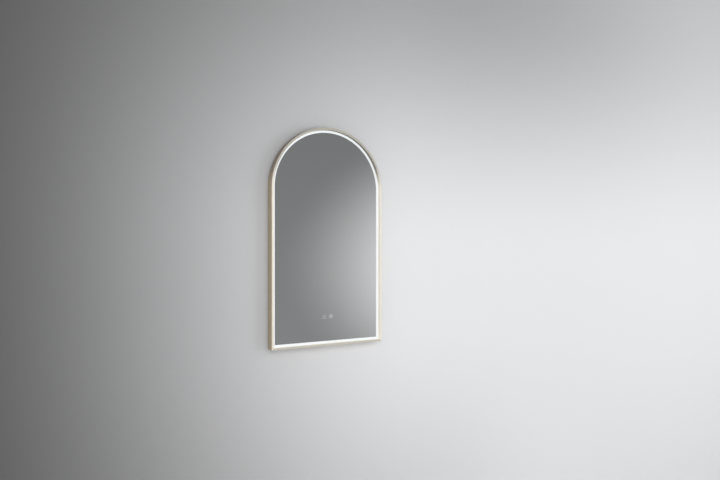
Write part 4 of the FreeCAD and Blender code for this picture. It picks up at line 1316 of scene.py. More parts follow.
@dataclass
class Outline:
    """The mirror's outer outline: a half-round top on two straight sides, in millimetres."""

    half_width: float = 250.0
    bottom: float = -650.0
    arch_steps: int = 96
    joint_gap: float = 0.08

    def right_foot(self, section: Vector) -> Vector:
        """Place on the right foot's mitre of a section point (inset, y)."""
        return Vector((self.half_width - section.x, section.y, self.bottom + section.x + self.joint_gap))

    def spring(self, place: Vector) -> Vector:
        """Same point at the height where the arch springs."""
        return Vector((place.x, place.y, 0))

    def left_foot(self, place: Vector) -> Vector:
        """Same point on the left foot's mitre."""
        return Vector((place.x, place.y, self.bottom + self.half_width + place.x + self.joint_gap))

    def rail_end(self, section: Vector) -> Vector:
        """Place on the bottom rail's left mitre of a section point (inset, y)."""
        return Vector((section.x + self.joint_gap - self.half_width, section.y, self.bottom + section.x))

    @staticmethod
    def across(place: Vector) -> Vector:
        """Same point on the other side of the mirror."""
        return Vector((-place.x, place.y, place.z))

    def over_arch(self, work: Workpiece, items: Sequence) -> list:
        """Turns faces or edges from the right spring over the top to the left spring."""
        return work.turn(items, -Y_AXIS, HALF_TURN, self.arch_steps)


@dataclass
class FrameShell(Assembly):
    """The extruded frame: one length bent over the top, and the mitred bottom rail."""

    outline: Outline
    depth: float = 45.0
    wall: float = 1.5
    lip: float = 8.6
    inner_web: float = 6.5
    hollow: Span = (-43.2, -30.5)
    hollow_wall: float = 7.3
    web: Span = (-29.2, -26.8)
    groove: Span = (-25.5, -20.0)
    channel: Span = (5.75, 3.25)
    channel_lip: float = 6.95
    channel_span: Span = (-19.0, -11.0)
    outer_round: float = 0.8
    inner_round: float = 0.45
    fine_round: float = 0.2
    round_segments: int = 4
    # Share of painted shade on the bottom rail, for the frame and for the arch alone; the rail runs
    # level but takes less than the full share.
    rail_painted_shade: Place = (0.3, 0.0)

    def section(self, work: Workpiece) -> list[BMEdge]:
        """Draws the section in (inset, y).

        Args:
            work: Empty workpiece.

        Returns:
            Edges of the outer outline and of the hollow.
        """
        front, wall, lip, web = -self.depth, self.wall, self.lip, self.inner_web
        web_front, web_back = self.web
        groove_front, groove_back = self.groove
        channel_inner, channel_outer = self.channel
        channel_front, channel_back = self.channel_span
        corners = [
            ((0, 0), self.fine_round),
            ((0, front), self.outer_round),
            ((lip, front), self.inner_round),
            ((lip, web_front), self.fine_round),
            ((wall, web_front), 0),
            ((wall, web_back), 0),
            ((web, web_back), self.fine_round),
            ((web, groove_front), self.fine_round),
            ((wall, groove_front), 0),
            ((wall, groove_back), 0),
            ((self.channel_lip, groove_back), self.fine_round),
            ((self.channel_lip, channel_back), 0),
            ((channel_inner, channel_back), 0),
            ((channel_inner, channel_front), 0),
            ((channel_outer, channel_front), 0),
            ((channel_outer, channel_back), 0),
            ((wall, channel_back), 0),
            ((wall, 0), self.fine_round),
        ]
        places, radii = zip(*corners)
        outer = work.outline(places, radii, self.round_segments)
        front, back = self.hollow
        inner = [(wall, front), (self.hollow_wall, front), (self.hollow_wall, back), (wall, back)]
        return outer + work.outline(inner)

    def _face_kind(self, inset: float, depth: float) -> FrameFace:
        """Tells the lip and the return behind it from the other faces.

        Args:
            inset: Distance of the face's middle in from the outline.
            depth: Its place along Y.

        Returns:
            The kind of face.
        """
        if depth < -self.depth + self.outer_round:
            return FrameFace.LIP
        returns = inset > self.lip - self.inner_round and depth < self.web[0]
        return FrameFace.RETURN if returns else FrameFace.OUTSIDE

    def _lay_maps(
        self,
        work: Workpiece,
        along: Callable[[Vector], float],
        inset: Callable[[Vector], float],
        turn: Callable[[Vector], Place],
    ) -> None:
        """Lays the run and turn maps, and sorts the faces by finish.

        Args:
            work: Workpiece in millimetres.
            along: Distance along the run at a place.
            inset: Distance in from the outline at a place.
            turn: How level the run is at a place, for the frame and for the arch alone; the finishes lay
                their painted shade and painted glow by it.
        """
        run_layer = work.mesh.loops.layers.uv.new(CHAMPAGNE.run_map)
        turn_layer = work.mesh.loops.layers.uv.new(CHAMPAGNE.painted_light_map)
        for face in work.mesh.faces:
            corners = [loop.vert.co for loop in face.loops]
            middle = sum(inset(corner) for corner in corners) / len(corners)
            face.material_index = self._face_kind(middle, face.calc_center_median().y)
            for loop in face.loops:
                place = loop.vert.co
                across = inset(place) - place.y
                loop[run_layer].uv = (along(place) * METRES_PER_MM, across * METRES_PER_MM)
                loop[turn_layer].uv = turn(place)

    def _arch_run(self, place: Vector) -> float:
        """Distance along the arch from the right spring; negative down the right leg.

        Args:
            place: Place on the arch or a leg.

        Returns:
            The distance.
        """
        radius = self.outline.half_width
        if place.z >= 0:
            return radius * math.atan2(place.z, place.x)
        return place.z if place.x > 0 else radius * HALF_TURN - place.z

    def _arch_inset(self, place: Vector) -> float:
        """Distance in from the outline on the arch or a leg."""
        reach = math.hypot(place.x, place.z) if place.z > 0 else abs(place.x)
        return self.outline.half_width - reach

    @staticmethod
    def _arch_turn(place: Vector) -> Place:
        """How level the run is on the arch: 0 at the springs and on the legs, 1 at the crown."""
        # How level the arch runs is also the share of painted shade that its finishes lay there.
        level = place.z / math.hypot(place.x, place.z) if place.z > 0 else 0.0
        return (level, level)

    @staticmethod
    def _finish(work: Workpiece, name: str, node: str) -> bpy.types.Object:
        """Finishes one length in its three finishes.

        Args:
            work: The length.
            name: The piece's name.
            node: CAD node that it stands for.

        Returns:
            The finished length.
        """
        # In the order of FrameFace's numbers, after the outside's own finish.
        more = (CHAMPAGNE_LIP, CHAMPAGNE_RETURN)
        piece = work.finish(name, CHAMPAGNE, Slot.CHAMPAGNE, Body.HUNG, [node], more=more)
        return weigh_normals(piece)

    def build_arch(self) -> bpy.types.Object:
        """Builds the length that goes up one side, over the top and down the other.

        Returns:
            The length.
        """
        work = Workpiece()
        faces = work.fill(self.section(work))
        work.place(work.mesh.verts, self.outline.right_foot)
        faces = work.draw_faces(faces, self.outline.spring)
        faces = self.outline.over_arch(work, faces)
        work.draw_faces(faces, self.outline.left_foot)
        self._lay_maps(work, self._arch_run, self._arch_inset, self._arch_turn)
        return self._finish(work, "frame_arch_bent", "frame_arch")

    def build_bottom(self) -> bpy.types.Object:
        """Builds the bottom rail between its two mitres.

        Returns:
            The rail.
        """
        work = Workpiece()
        faces = work.fill(self.section(work))
        work.place(work.mesh.verts, self.outline.rail_end)
        work.draw_faces(faces, self.outline.across)
        bottom, turn = self.outline.bottom, self.rail_painted_shade
        self._lay_maps(work, lambda place: place.x, lambda place: place.z - bottom, lambda place: turn)
        return self._finish(work, "frame_bottom_rail", "frame_bottom")

    def build(self) -> list[bpy.types.Object]:
        """Builds both lengths."""
        return [self.build_arch(), self.build_bottom()]


@dataclass
class LightRing(Assembly):
    """The opal diffuser, one ring with a leg behind the glass's edge."""

    outline: Outline
    inset: Span = (2.2, 18.0)
    face: Span = (-29.0, -27.0)
    leg_inset: float = 16.7
    leg_back: float = -24.0
    edge_round: float = 0.25

    def build(self) -> list[bpy.types.Object]:
        """Builds the closed ring.

        Returns:
            The ring, alone in a list.
        """
        work = Workpiece()
        outer, inner = self.inset
        front, back = self.face
        corners = [
            (outer, front), (inner, front), (inner, self.leg_back),
            (self.leg_inset, self.leg_back), (self.leg_inset, back), (outer, back),
        ]
        edges = work.outline(corners, self.edge_round)
        work.place(work.mesh.verts, self.outline.right_foot)
        edges = work.draw_edges(edges, self.outline.spring)
        edges = self.outline.over_arch(work, edges)
        edges = work.draw_edges(edges, self.outline.left_foot)
        work.draw_edges(edges, self.outline.across)
        opal = SLOT_FINISHES[Slot.OPAL]
        piece = work.finish("diffuser_ring", opal, Slot.OPAL, Body.HUNG, ["diffuser"])
        return [weigh_normals(piece)]


@dataclass
class MirrorPane(Assembly):
    """The mirror glass with its ground edge."""

    outline: Outline
    inset: float = 18.3
    face: Span = (GLASS_FRONT, -25.0)
    arris: float = 0.4
    arris_segments: int = 2
    flat_turn: float = math.radians(8)

    def build(self) -> list[bpy.types.Object]:
        """Builds the pane from its front outline.

        Returns:
            The pane, alone in a list.
        """
        work = Workpiece()
        front, back = self.face
        reach = self.outline.half_width - self.inset
        foot = self.outline.bottom + self.inset
        right_foot, spring, left_foot = (
            work.mesh.verts.new((x, front, z)) for x, z in ((reach, foot), (reach, 0), (-reach, foot))
        )
        work.mesh.edges.new((right_foot, spring))
        left_spring = self.outline.over_arch(work, [spring])[0]
        work.mesh.edges.new((left_spring, left_foot))
        work.mesh.edges.new((left_foot, right_foot))
        face = work.disc_face(work.mesh.edges[:])
        work.draw_faces(face, lambda place: Vector((place.x, back, place.z)))
        ends = ((edge, *(vert.co.y for vert in edge.verts)) for edge in work.mesh.edges)
        rims = [edge for edge, start, end in ends if abs(start - end) < MERGE_DISTANCE]
        work.round_edges(rims, self.arris, self.arris_segments)
        silver, nodes = SLOT_FINISHES[Slot.MIRROR], ["mirror_glass"]
        return [work.finish("mirror_pane", silver, Slot.MIRROR, Body.HUNG, nodes, self.flat_turn)]


@dataclass
class TouchSigns(Assembly):
    """The two lit signs in the silver: a power sign and a demister sign."""

    rise: float = 0.05
    stroke: float = 1.7
    ring_radius: float = 6.6
    ring_gap: float = math.radians(70)
    ring_steps: int = 28
    bar_span: Span = (-0.5, 9.0)
    wave_pitch: float = 6.0
    wave_span: Span = (-3.8, 3.8)
    wave_bow: float = 0.9
    wave_steps: int = 16
    base_reach: float = 9.0
    base_level: float = -8.5
    bright: Finish = LitSign("sign_lit_bright", linear(250, 252, 255), 0.3)
    dim: Finish = LitSign("sign_lit_dim", linear(232, 236, 242), 0.16)

    @staticmethod
    def _end(work: Workpiece, first: Place, second: Place) -> list[BMEdge]:
        """Draws the end that a stroke starts from, between two places in the sign's plane."""
        return [work.mesh.edges.new([work.mesh.verts.new((x, 0, z)) for x, z in (first, second)])]

    def _wave(self, work: Workpiece, middle: float) -> None:
        """Draws one upright wave with a single full swing.

        Args:
            work: Workpiece.
            middle: The wave's place across the sign.
        """
        low, high = self.wave_span
        half = self.stroke / 2
        edge = self._end(work, (middle - half, low), (middle + half, low))
        turns = (FULL_TURN * step / self.wave_steps for step in range(self.wave_steps + 1))
        swings = [self.wave_bow * math.sin(turn) for turn in turns]
        for before, after in zip(swings, swings[1:]):
            move = Vector((after - before, 0, (high - low) / self.wave_steps))
            edge = work.draw_edges(edge, lambda place: place + move)

    def _raise(self, work: Workpiece, side: float, name: str, finish: Finish) -> bpy.types.Object:
        """Puts a sign on the glass and gives it its thickness.

        Args:
            work: Flat sign round its own centre.
            side: The sign's place across the mirror.
            name: The piece's name.
            finish: Its finish.

        Returns:
            The sign.
        """
        shift, lift = Vector((side, GLASS_FRONT, SIGN_LEVEL)), Vector((0, -self.rise, 0))
        work.place(work.mesh.verts, lambda place: place + shift)
        work.draw_faces(work.mesh.faces[:], lambda place: place + lift)
        return work.finish(name, finish, Slot.LAMP, Body.HUNG)

    def build_power(self) -> bpy.types.Object:
        """Builds the open ring with its bar.

        Returns:
            The power sign.
        """
        work = Workpiece()
        half, start = self.stroke / 2, self.ring_gap / 2
        inner, outer = (
            (radius * math.sin(start), radius * math.cos(start))
            for radius in (self.ring_radius - half, self.ring_radius + half)
        )
        ring = self._end(work, inner, outer)
        work.turn(ring, Y_AXIS, FULL_TURN - self.ring_gap, self.ring_steps)
        low, high = self.bar_span
        bar = self._end(work, (-half, low), (half, low))
        work.draw_edges(bar, lambda place: Vector((place.x, 0, high)))
        return self._raise(work, SIGN_SIDE, "sign_power", self.bright)

    def build_demister(self) -> bpy.types.Object:
        """Builds three rising waves over a base line.

        Returns:
            The demister sign.
        """
        work = Workpiece()
        for step in (-1, 0, 1):
            self._wave(work, step * self.wave_pitch)
        reach, level = self.base_reach, self.base_level
        base = self._end(work, (-reach, level), (-reach, level + self.stroke))
        work.draw_edges(base, lambda place: Vector((reach, 0, place.z)))
        return self._raise(work, -SIGN_SIDE, "sign_demister", self.dim)

    def build(self) -> list[bpy.types.Object]:
        """Builds both signs."""
        return [self.build_power(), self.build_demister()]


@dataclass(frozen=True)
class ScrewSize:
    """Head and shank of one size of pan-head screw."""

    head_radius: float
    head_height: float
    shank_radius: float


M3_SCREW = ScrewSize(head_radius=2.8, head_height=1.9, shank_radius=1.25)
M4_SCREW = ScrewSize(head_radius=4.0, head_height=1.5, shank_radius=1.7)


@dataclass
class ScrewSet(Assembly):
    """Equal pan-head screws with a cross recess, driven from the back."""

    name: str
    node: str
    places: Sequence[Place]
    size: ScrewSize
    seat: float
    length: float
    sides: int = 24
    crown: Sequence[Place] = ((0.62, 0.0), (0.86, 0.12), (0.97, 0.34), (1.0, 0.6))
    arms: int = 4
    arm: float = 0.5
    slot_width: float = 0.13
    recess_depth: float = 0.6
    recess_taper: float = 0.55

    def _body(self, work: Workpiece) -> list[BMEdge]:
        """Draws the head's crown and side, then the shank.

        Args:
            work: Empty workpiece.

        Returns:
            The rim round the head's flat top.
        """
        radius, height, shank = self.size.head_radius, self.size.head_height, self.size.shank_radius
        rings = [(share * radius, -drop * height) for share, drop in self.crown]
        rings += [(radius, -height), (shank, -height), (shank, -height - self.length)]
        rim = edges = work.circle(rings[0][0], self.sides)
        for (before, _), (reach, level) in zip(rings, rings[1:]):
            grow = reach / before
            edges = work.draw_edges(edges, lambda place: Vector((place.x * grow, place.y * grow, level)))
        work.disc_face(edges)
        return rim

    def _recess(self, work: Workpiece, rim: Sequence[BMEdge]) -> None:
        """Draws the tapered cross and closes the head's top round it.

        Args:
            work: Workpiece with the body.
            rim: The rim round the head's flat top.
        """
        reach, half = self.arm * self.size.head_radius, self.slot_width * self.size.head_radius
        arm = [Vector((reach, -half, 0)), Vector((reach, half, 0)), Vector((half, half, 0))]
        quarters = [Matrix.Rotation(QUARTER_TURN * quarter, 3, "Z") for quarter in range(self.arms)]
        verts = [work.mesh.verts.new(turn @ place) for turn in quarters for place in arm]
        cross = [work.mesh.edges.new((verts[index - 1], verts[index])) for index in range(len(verts))]
        work.fill([*rim, *cross])
        depth, taper = -self.recess_depth * self.size.head_height, self.recess_taper
        floor = work.draw_edges(cross, lambda place: Vector((place.x * taper, place.y * taper, depth)))
        work.disc_face(floor)

    def build(self) -> list[bpy.types.Object]:
        """Builds one screw and copies it to every place.

        Returns:
            The set as one piece, alone in a list.
        """
        work = Workpiece()
        self._recess(work, self._body(work))
        outward, top = Matrix.Rotation(-QUARTER_TURN, 3, "X"), self.seat + self.size.head_height
        work.place(work.mesh.verts, lambda place: outward @ place)
        work.repeat([Vector((x, top, z)) for x, z in self.places])
        return [work.finish(self.name, SCREW_ZINC, Slot.SCREW, Body.HUNG, [self.node])]


@dataclass
class PressedHatch(Assembly):
    """The hatch: a flat flange round a pressed dome with a rounded foot and shoulder."""

    half_width: float = 152.0
    span_z: Span = (-212.0, -48.0)
    corner: float = 10.0
    corner_segments: int = 8
    flange_back: float = -7.0
    sheet: float = 1.0
    dome_inset: float = 9.6
    dome_draft: float = 3.4
    dome_back: float = -4.5
    press_round: float = 1.1
    press_segments: int = 4

    @property
    def middle(self) -> float:
        """Height of the hatch's middle."""
        return sum(self.span_z) / 2

    def _inwards(self, place: Vector, step: float, level: float) -> Vector:
        """Same corner point a step further in on both sides, at a level along Y.

        Args:
            place: Point of a round corner.
            step: Step towards the middle.
            level: New place along Y.

        Returns:
            The new point.
        """
        across = place.x - math.copysign(step, place.x)
        return Vector((across, level, place.z - math.copysign(step, place.z - self.middle)))

    def build(self) -> list[bpy.types.Object]:
        """Builds the pressing from its flange inwards, then gives it its thickness.

        Returns:
            The hatch, alone in a list.
        """
        work = Workpiece()
        low, high = self.span_z
        reach, half = self.half_width, (high - low) / 2
        corners = [(reach, -half), (reach, half), (-reach, half), (-reach, -half)]
        edges = work.outline(corners, self.corner, self.corner_segments)
        flange, dome = self.flange_back, self.dome_back
        work.place(work.mesh.verts, lambda place: Vector((place.x, flange, self.middle + place.y)))
        foot = work.draw_edges(edges, lambda place: self._inwards(place, self.dome_inset, flange))
        shoulder = work.draw_edges(foot, lambda place: self._inwards(place, self.dome_draft, dome))
        work.disc_face(shoulder)
        work.round_edges(foot + shoulder, self.press_round, self.press_segments)
        inwards = Vector((0, -self.sheet, 0))
        work.draw_faces(work.mesh.faces[:], lambda place: place + inwards)
        piece = work.finish("hatch_pressing", POWDER, Slot.COVER, Body.HUNG, ["hatch_cover"])
        return [weigh_normals(piece)]


@dataclass
class TurnedPart(Assembly):
    """Equal round parts turned about axes along Y, from a profile of (radius, y)."""

    name: str
    node: str
    places: Sequence[Place]
    profile: Sequence[Place]
    round_off: float
    round_segments: int = 4
    sides: int = 48

    def build(self) -> list[bpy.types.Object]:
        """Turns the profile, open along the axis, and copies the part to every place.

        Returns:
            The parts as one piece, alone in a list.
        """
        work = Workpiece()
        radii = [self.round_off if reach else 0.0 for reach, _ in self.profile]
        edges = work.outline(self.profile, radii, self.round_segments)
        axis = [edge for edge in edges if max(vert.co.x for vert in edge.verts) < MERGE_DISTANCE]
        edges = [edge for edge in edges if edge not in axis]
        bmesh.ops.delete(work.mesh, geom=axis, context="EDGES")
        work.turn(edges, Y_AXIS, FULL_TURN, self.sides, closed=True)
        work.repeat([Vector((x, 0, z)) for x, z in self.places])
        return [work.finish(self.name, BLACK_RUBBER, Slot.RUBBER, Body.HUNG, [self.node])]


@dataclass
class BackFittings:
    """Sizes and places of the screws and rubber parts that show at the back."""

    cover_face: float = -9.0
    cover_side: float = 245.5
    cover_levels: Sequence[float] = (-107.6, -322.75, -537.9)
    cover_turns: Sequence[float] = (22.5, 67.5, 112.5, 157.5)
    cover_foot: float = -645.5
    cover_foot_sides: Sequence[float] = (-122.75, 122.75)
    cover_screw_length: float = 8.0
    hatch_face: float = -7.0
    hatch_sides: Sequence[float] = (-138.0, 0.0, 138.0)
    hatch_levels: Sequence[float] = (-208.0, -52.0)
    hatch_screw_length: float = 5.0
    hanger_face: float = -7.0
    hanger_sides: Sequence[float] = (-123.75, -41.25, 41.25, 123.75)
    hanger_level: float = 35.0
    hanger_screw_length: float = 6.0
    grommet_place: Place = (-117.5, -234.0)
    grommet_radii: Sequence[float] = (5.0, 9.5, 7.0)
    grommet_levels: Sequence[float] = (-7.5, -9.0, -10.0, -11.5)
    grommet_round: float = 0.35
    buffer_side: float = 200.0
    buffer_level: float = -610.0
    buffer_radii: Span = (10.0, 8.6)
    buffer_round: float = 1.2

    def cover_places(self) -> list[Place]:
        """Places of the screws round the cover: up the sides, over the top and along the bottom.

        Returns:
            The places across and up.
        """
        reach = self.cover_side
        sides = [(side * reach, level) for level in self.cover_levels for side in (-1, 1)]
        angles = (math.radians(turn) for turn in self.cover_turns)
        top = [(reach * math.cos(angle), reach * math.sin(angle)) for angle in angles]
        return sides + top + [(side, self.cover_foot) for side in self.cover_foot_sides]

    def cover_screws(self) -> ScrewSet:
        """Sizes the screws that close the cover."""
        seat, length = self.cover_face, self.cover_screw_length
        return ScrewSet("cover_screw_set", "cover_screws", self.cover_places(), M3_SCREW, seat, length)

    def hatch_screws(self) -> ScrewSet:
        """Sizes the screws that close the hatch.

        Returns:
            Their sub-assembly.
        """
        places = [(side, level) for side in self.hatch_sides for level in self.hatch_levels]
        seat, length = self.hatch_face, self.hatch_screw_length
        return ScrewSet("hatch_screw_set", "hatch_screws", places, M3_SCREW, seat, length)

    def hanger_screws(self) -> ScrewSet:
        """Sizes the screws that carry the bracket.

        Returns:
            Their sub-assembly.
        """
        places = [(side, self.hanger_level) for side in self.hanger_sides]
        seat, length = self.hanger_face, self.hanger_screw_length
        return ScrewSet("hanger_screw_set", "hanger_screws", places, M4_SCREW, seat, length)

    def grommet(self) -> TurnedPart:
        """Sizes the cable grommet, with the groove that grips the cover.

        Returns:
            Its sub-assembly.
        """
        bore, rim, groove = self.grommet_radii
        back, groove_back, groove_front, front = self.grommet_levels
        profile = [
            (bore, front), (rim, front), (rim, groove_front), (groove, groove_front),
            (groove, groove_back), (rim, groove_back), (rim, back), (bore, back),
        ]
        places = [self.grommet_place]
        return TurnedPart("grommet_ring", "cable_grommet", places, profile, self.grommet_round)

    def buffers(self) -> TurnedPart:
        """Sizes the two tapered wall buffers.

        Returns:
            Their sub-assembly.
        """
        foot, tip = self.buffer_radii
        seat = self.cover_face
        profile = [(0.0, seat), (foot, seat), (tip, 0.0), (0.0, 0.0)]
        places = [(side * self.buffer_side, self.buffer_level) for side in (-1, 1)]
        return TurnedPart("wall_buffer_pair", "wall_buffers", places, profile, self.buffer_round)


class CarriedNodes(Assembly):
    """CAD nodes that keep their own shape and only take a finish."""

    def build(self) -> list[bpy.types.Object]:
        """Gives every node the finish of its material slot.

        Returns:
            The nodes.
        """
        parts = frame["record"]["subparts"]
        nodes = [frame["nodes"][part["node"]] for part in parts]
        for part, node in zip(parts, nodes):
            finish = SLOT_FINISHES[Slot(part["material_slot"])]
            for holder in node.material_slots:
                holder.material = finish.material()
        return nodes


# ---------------------------------------------------------------- studio


@dataclass(frozen=True)
class WallPaint(Finish):
    """Pale backdrop with painted shade, darker to the left, at the top and at the foot, clear from
    behind so that it hides nothing there.
    """

    colour: Colour
    shade: Colour
    fade: Span = (0.5, -1.5)
    fade_up: Span = (-0.3, 1.0)
    top_share: float = 0.58
    top_least: float = 0.35
    ease: Span = (0.5, 3.0)
    fade_down: Span = (-0.55, -1.5)
    foot_share: float = 0.2
    foot_ease: Span = (0.2, 1.3)
    clouds: Grain = Grain(0.8, 1.0)
    roughness: float = 0.85
    roughness_swing: float = 0.1
    tooth: Grain = Grain(240.0)
    skin: Relief = Relief(0.0002, 0.15)

    def _painted_shade_share(self, net: ShaderNet, place: bpy.types.NodeSocket) -> Signal:
        """Share of the painted shade at a place: to the left, at the top and at the foot.

        Args:
            net: Node net.
            place: Place on the backdrop.

        Returns:
            The share, from 0 to 1.
        """
        across, _, rise = net.parts(place)
        eased = 1 - across.ramp(*self.ease) * (1 - self.top_least)
        top = rise.ramp(*self.fade_up) * eased * self.top_share
        foot = rise.ramp(*self.fade_down) * (1 - across.ramp(*self.foot_ease)) * self.foot_share
        return 1 - (1 - across.ramp(*self.fade)) * (1 - top) * (1 - foot)

    def describe(self, net: ShaderNet) -> bpy.types.NodeSocket:
        """Builds a smooth painted surface that only its front shows.

        Args:
            net: Empty node net.

        Returns:
            The shader.
        """
        place = net.place()
        tooth, clouds = net.noise(place, self.tooth), net.noise(place, self.clouds)
        painted = net.surface(
            {
                "Base Color": net.blend(self._painted_shade_share(net, place), self.colour, self.shade),
                "Roughness": net.swung(self.roughness, (clouds, self.roughness_swing)),
                "Normal": net.relief(tooth, self.skin),
            }
        )
        behind = net.add("ShaderNodeNewGeometry").outputs["Backfacing"]
        clear = net.add("ShaderNodeBsdfTransparent").outputs[0]
        return net.add("ShaderNodeMixShader", None, {0: behind, 1: painted, 2: clear}).outputs[0]


@dataclass(frozen=True)
class FloorPaint(Finish):
    """Pale studio floor with a slow change of tone."""

    colour: Colour
    shade: Colour
    clouds: Grain = Grain(1.2, 3.0)
    roughness: float = 0.75
    roughness_swing: float = 0.1

    def describe(self, net: ShaderNet) -> bpy.types.NodeSocket:
        """Builds a matt floor.

        Args:
            net: Empty node net.

        Returns:
            The shader.
        """
        clouds = net.noise(net.place(), self.clouds)
        return net.surface(
            {
                "Base Color": net.blend(clouds, self.colour, self.shade),
                "Roughness": net.swung(self.roughness, (clouds, self.roughness_swing)),
            }
        )


# The backdrop's second colour is its painted shade.
WALL_PAINT = WallPaint("backdrop_paint", linear(237, 238, 240), linear(98, 98, 98))
FLOOR_PAINT = FloorPaint("floor_paint", linear(232, 231, 229), linear(224, 223, 221))


@dataclass
class SoftLamp:
    """An area lamp that is aimed at a place, in metres and watts."""

    name: str
    place: Vector
    aim: Vector
    width: float
    height: float
    power: float
    colour: Colour = (1.0, 1.0, 1.0)

    def hang(self) -> bpy.types.Object:
        """Hangs the lamp and aims it.

        Returns:
            The lamp.
        """
        data = bpy.data.lights.new(self.name, "AREA")
        data.shape = "RECTANGLE"
        data.size, data.size_y = self.width, self.height
        data.energy, data.color = self.power, self.colour
        lamp = bpy.data.objects.new(self.name, data)
        lamp.location = self.place
        lamp.rotation_euler = (self.aim - self.place).to_track_quat("-Z", "Y").to_euler()
        lamp.visible_glossy = False
        bpy.context.scene.collection.objects.link(lamp)
        return lamp


@dataclass
class Studio(Assembly):
    """Pale floor and backdrop, soft lamps and a room of soft greys for the mirror to show."""

    outline: Outline
    floor_level: float = -1.75
    wall_width: Span = (-6.0, 7.0)
    wall_top: float = 3.2
    wall_back: float = 0.0004
    hole_inset: float = 20.0
    hole_sides: int = 64
    floor_reach: float = 5.2
    window_heading: float = math.radians(52)
    window_rise: float = math.radians(-2.4)
    window_reach: Span = (math.radians(21.5), math.radians(11))
    window_edge: Span = (1.48, 0.58)
    window_level: float = 0.84
    top_level: float = 0.74
    room_level: float = 0.226
    room_fall: float = 0.16
    room_heading: float = math.radians(12)
    room_reach: Span = (math.radians(24), math.radians(80))
    pale_level: float = 0.46
    ceiling: Span = (0.05, 0.6)
    ceiling_shade: float = 0.62
    lamps: Sequence[SoftLamp] = (
        SoftLamp("lamp_key", Vector((-0.4, -2.6, 0.1)), Vector((0, 0, -0.2)), 2.4, 2.0, 44.0),
        SoftLamp("lamp_side", Vector((3.0, -2.2, 0.0)), Vector((2.1, 0, -0.2)), 2.2, 2.8, 36.5),
        SoftLamp("lamp_rear", Vector((0.4, 3.0, 1.2)), Vector((0, 0, -0.2)), 2.4, 2.4, 42.0),
    )

    def _cut_hole(self, work: Workpiece) -> None:
        """Draws the backdrop's opening, which follows the mirror's outline.

        Args:
            work: Workpiece in the X-Y plane.
        """
        foot = self.outline.bottom + self.hole_inset
        rim = work.circle(self.outline.half_width - self.hole_inset, self.hole_sides)
        verts = {vert for edge in rim for vert in edge.verts}
        springs = [vert for vert in verts if abs(vert.co.y) <= MERGE_DISTANCE]
        lower = [vert for vert in verts if vert.co.y < -MERGE_DISTANCE]
        bmesh.ops.delete(work.mesh, geom=lower, context="VERTS")
        feet = []
        for vert in springs:
            feet.append(work.mesh.verts.new((vert.co.x, foot, 0)))
            work.mesh.edges.new((vert, feet[-1]))
        work.mesh.edges.new(feet)

    def build_wall(self) -> bpy.types.Object:
        """Builds the backdrop, open behind the mirror where only the mirror's back can see it.

        Returns:
            The backdrop.
        """
        work = Workpiece()
        left, right = (side / METRES_PER_MM for side in self.wall_width)
        low, high = self.floor_level / METRES_PER_MM, self.wall_top / METRES_PER_MM
        work.outline([(left, low), (right, low), (right, high), (left, high)])
        self._cut_hole(work)
        work.fill(work.mesh.edges[:])
        back = self.wall_back / METRES_PER_MM
        work.place(work.mesh.verts, lambda place: Vector((place.x, back, place.y)))
        wall = self._staged(work, "backdrop", WALL_PAINT)
        wall.visible_shadow = False
        return wall

    def build_floor(self) -> bpy.types.Object:
        """Builds the floor.

        Returns:
            The floor.
        """
        work = Workpiece()
        reach, level = self.floor_reach / METRES_PER_MM, self.floor_level / METRES_PER_MM
        edges = work.outline([(-reach, -reach), (reach, -reach), (reach, reach), (-reach, reach)])
        work.disc_face(edges)
        work.place(work.mesh.verts, lambda place: Vector((place.x, place.y, level)))
        return self._staged(work, "floor", FLOOR_PAINT)

    @staticmethod
    def _staged(work: Workpiece, name: str, finish: Finish) -> bpy.types.Object:
        """Makes a stage object from a workpiece.

        Args:
            work: Flat workpiece in millimetres.
            name: The object's name.
            finish: Its finish.

        Returns:
            The object.
        """
        piece = work.to_object(name, [finish])
        return piece

    def _window(self, east: Signal, north: Signal, rise: Signal) -> Signal:
        """The bright place off to the right.

        Args:
            east: Direction along X.
            north: Direction along Y.
            rise: Direction along Z.

        Returns:
            Its share, from 0 to 1.
        """
        wide, high = self.window_reach
        aside = (east.heading_from(-1 * north) - self.window_heading) / wide
        over = (rise - self.window_rise) / high
        return (aside * aside + over * over).root().ramp(*self.window_edge)

    def _pale_side(self, net: ShaderNet, heading: bpy.types.NodeSocket) -> Signal:
        """How far a direction turns away from the darker side of the room.

        Args:
            net: The world's node net.
            heading: Direction.

        Returns:
            Its share, from 0 to 1.
        """
        dark_side = (math.sin(self.room_heading), -math.cos(self.room_heading), 0.0)
        node = net.add("ShaderNodeVectorMath", {"operation": "DOT_PRODUCT"}, {0: heading, 1: dark_side})
        return Signal(net, node.outputs["Value"]).angle().ramp(*self.room_reach)

    def build_room(self) -> None:
        """Builds the world: soft greys by direction, with one bright place."""
        world = bpy.data.worlds.new("soft_room")
        world.use_nodes = True
        net = ShaderNet(world.node_tree)
        heading = net.add("ShaderNodeTexCoord").outputs["Generated"]
        east, north, rise = net.parts(heading)
        pale = self._pale_side(net, heading)
        grey = self.room_level - rise * self.room_fall
        above = 1 - rise.ramp(*self.ceiling) * self.ceiling_shade
        room = grey * (1 - pale) + pale * above * self.pale_level
        level = (room + self._window(east, north, rise) * self.window_level).at_most(self.top_level)
        tone = net.add("ShaderNodeCombineColor", None, {0: level, 1: level, 2: level}).outputs[0]
        light = net.add("ShaderNodeBackground", None, {"Color": tone, "Strength": 1.0}).outputs[0]
        net.close(light, Output.WORLD)
        bpy.context.scene.world = world

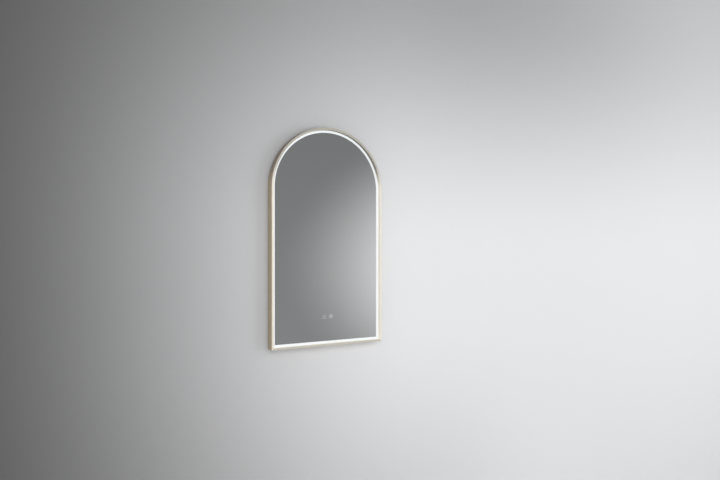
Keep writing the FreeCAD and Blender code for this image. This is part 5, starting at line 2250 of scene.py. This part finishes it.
    def build(self) -> list[bpy.types.Object]:
        """Builds the room, the stage and the lamps."""
        self.build_room()
        return [self.build_wall(), self.build_floor(), *(lamp.hang() for lamp in self.lamps)]


@dataclass
class Viewpoint(Assembly):
    """The photograph's camera, in metres, degrees and millimetres of lens."""

    place: Place3 = (-1.1101, -2.3896, -0.2037)
    pitch: float = 89.80
    heading: float = -28.15
    lens: float = 31.35
    sensor: float = 36.0

    def build(self) -> list[bpy.types.Object]:
        """Makes the camera.

        Returns:
            The camera, alone in a list.
        """
        data = bpy.data.cameras.new("viewpoint")
        data.lens, data.sensor_width = self.lens, self.sensor
        camera = bpy.data.objects.new("viewpoint", data)
        camera.location = self.place
        camera.rotation_euler = (math.radians(self.pitch), 0, math.radians(self.heading))
        bpy.context.scene.collection.objects.link(camera)
        bpy.context.scene.camera = camera
        return [camera]


def assemblies() -> list[Assembly]:
    """Lists the sub-assemblies in the order that they are built in, with the stage last.

    Returns:
        The sub-assemblies.
    """
    outline, fittings = Outline(), BackFittings()
    return [
        CarriedNodes(),
        FrameShell(outline),
        LightRing(outline),
        MirrorPane(outline),
        TouchSigns(),
        fittings.cover_screws(),
        fittings.hatch_screws(),
        fittings.hanger_screws(),
        PressedHatch(),
        fittings.grommet(),
        fittings.buffers(),
        Studio(outline),
        Viewpoint(),
    ]


def clear_startup() -> None:
    """Removes the objects that a new file starts with."""
    kept = {*frame["nodes"].values(), *frame["bodies"].values()}
    for item in list(bpy.data.objects):
        if item not in kept and item.type in {"MESH", "LIGHT", "CAMERA"}:
            bpy.data.objects.remove(item)


def report(piece: bpy.types.Object) -> None:
    """Logs a piece with the faces of its mesh, or with its kind where it has none."""
    made = f"{len(piece.data.polygons)} faces" if piece.type == "MESH" else piece.type.lower()
    log.info("%s: %s", piece.name, made)


def main() -> None:
    """Builds the sub-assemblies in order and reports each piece."""
    logging.basicConfig(level=logging.INFO, format="%(message)s")
    clear_startup()
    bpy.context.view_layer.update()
    bpy.context.scene.view_settings.view_transform = "Standard"
    for assembly in assemblies():
        for piece in assembly.build():
            report(piece)
    bpy.context.view_layer.update()
    log.info("boxes written")


if __name__ == "__main__":
    main()
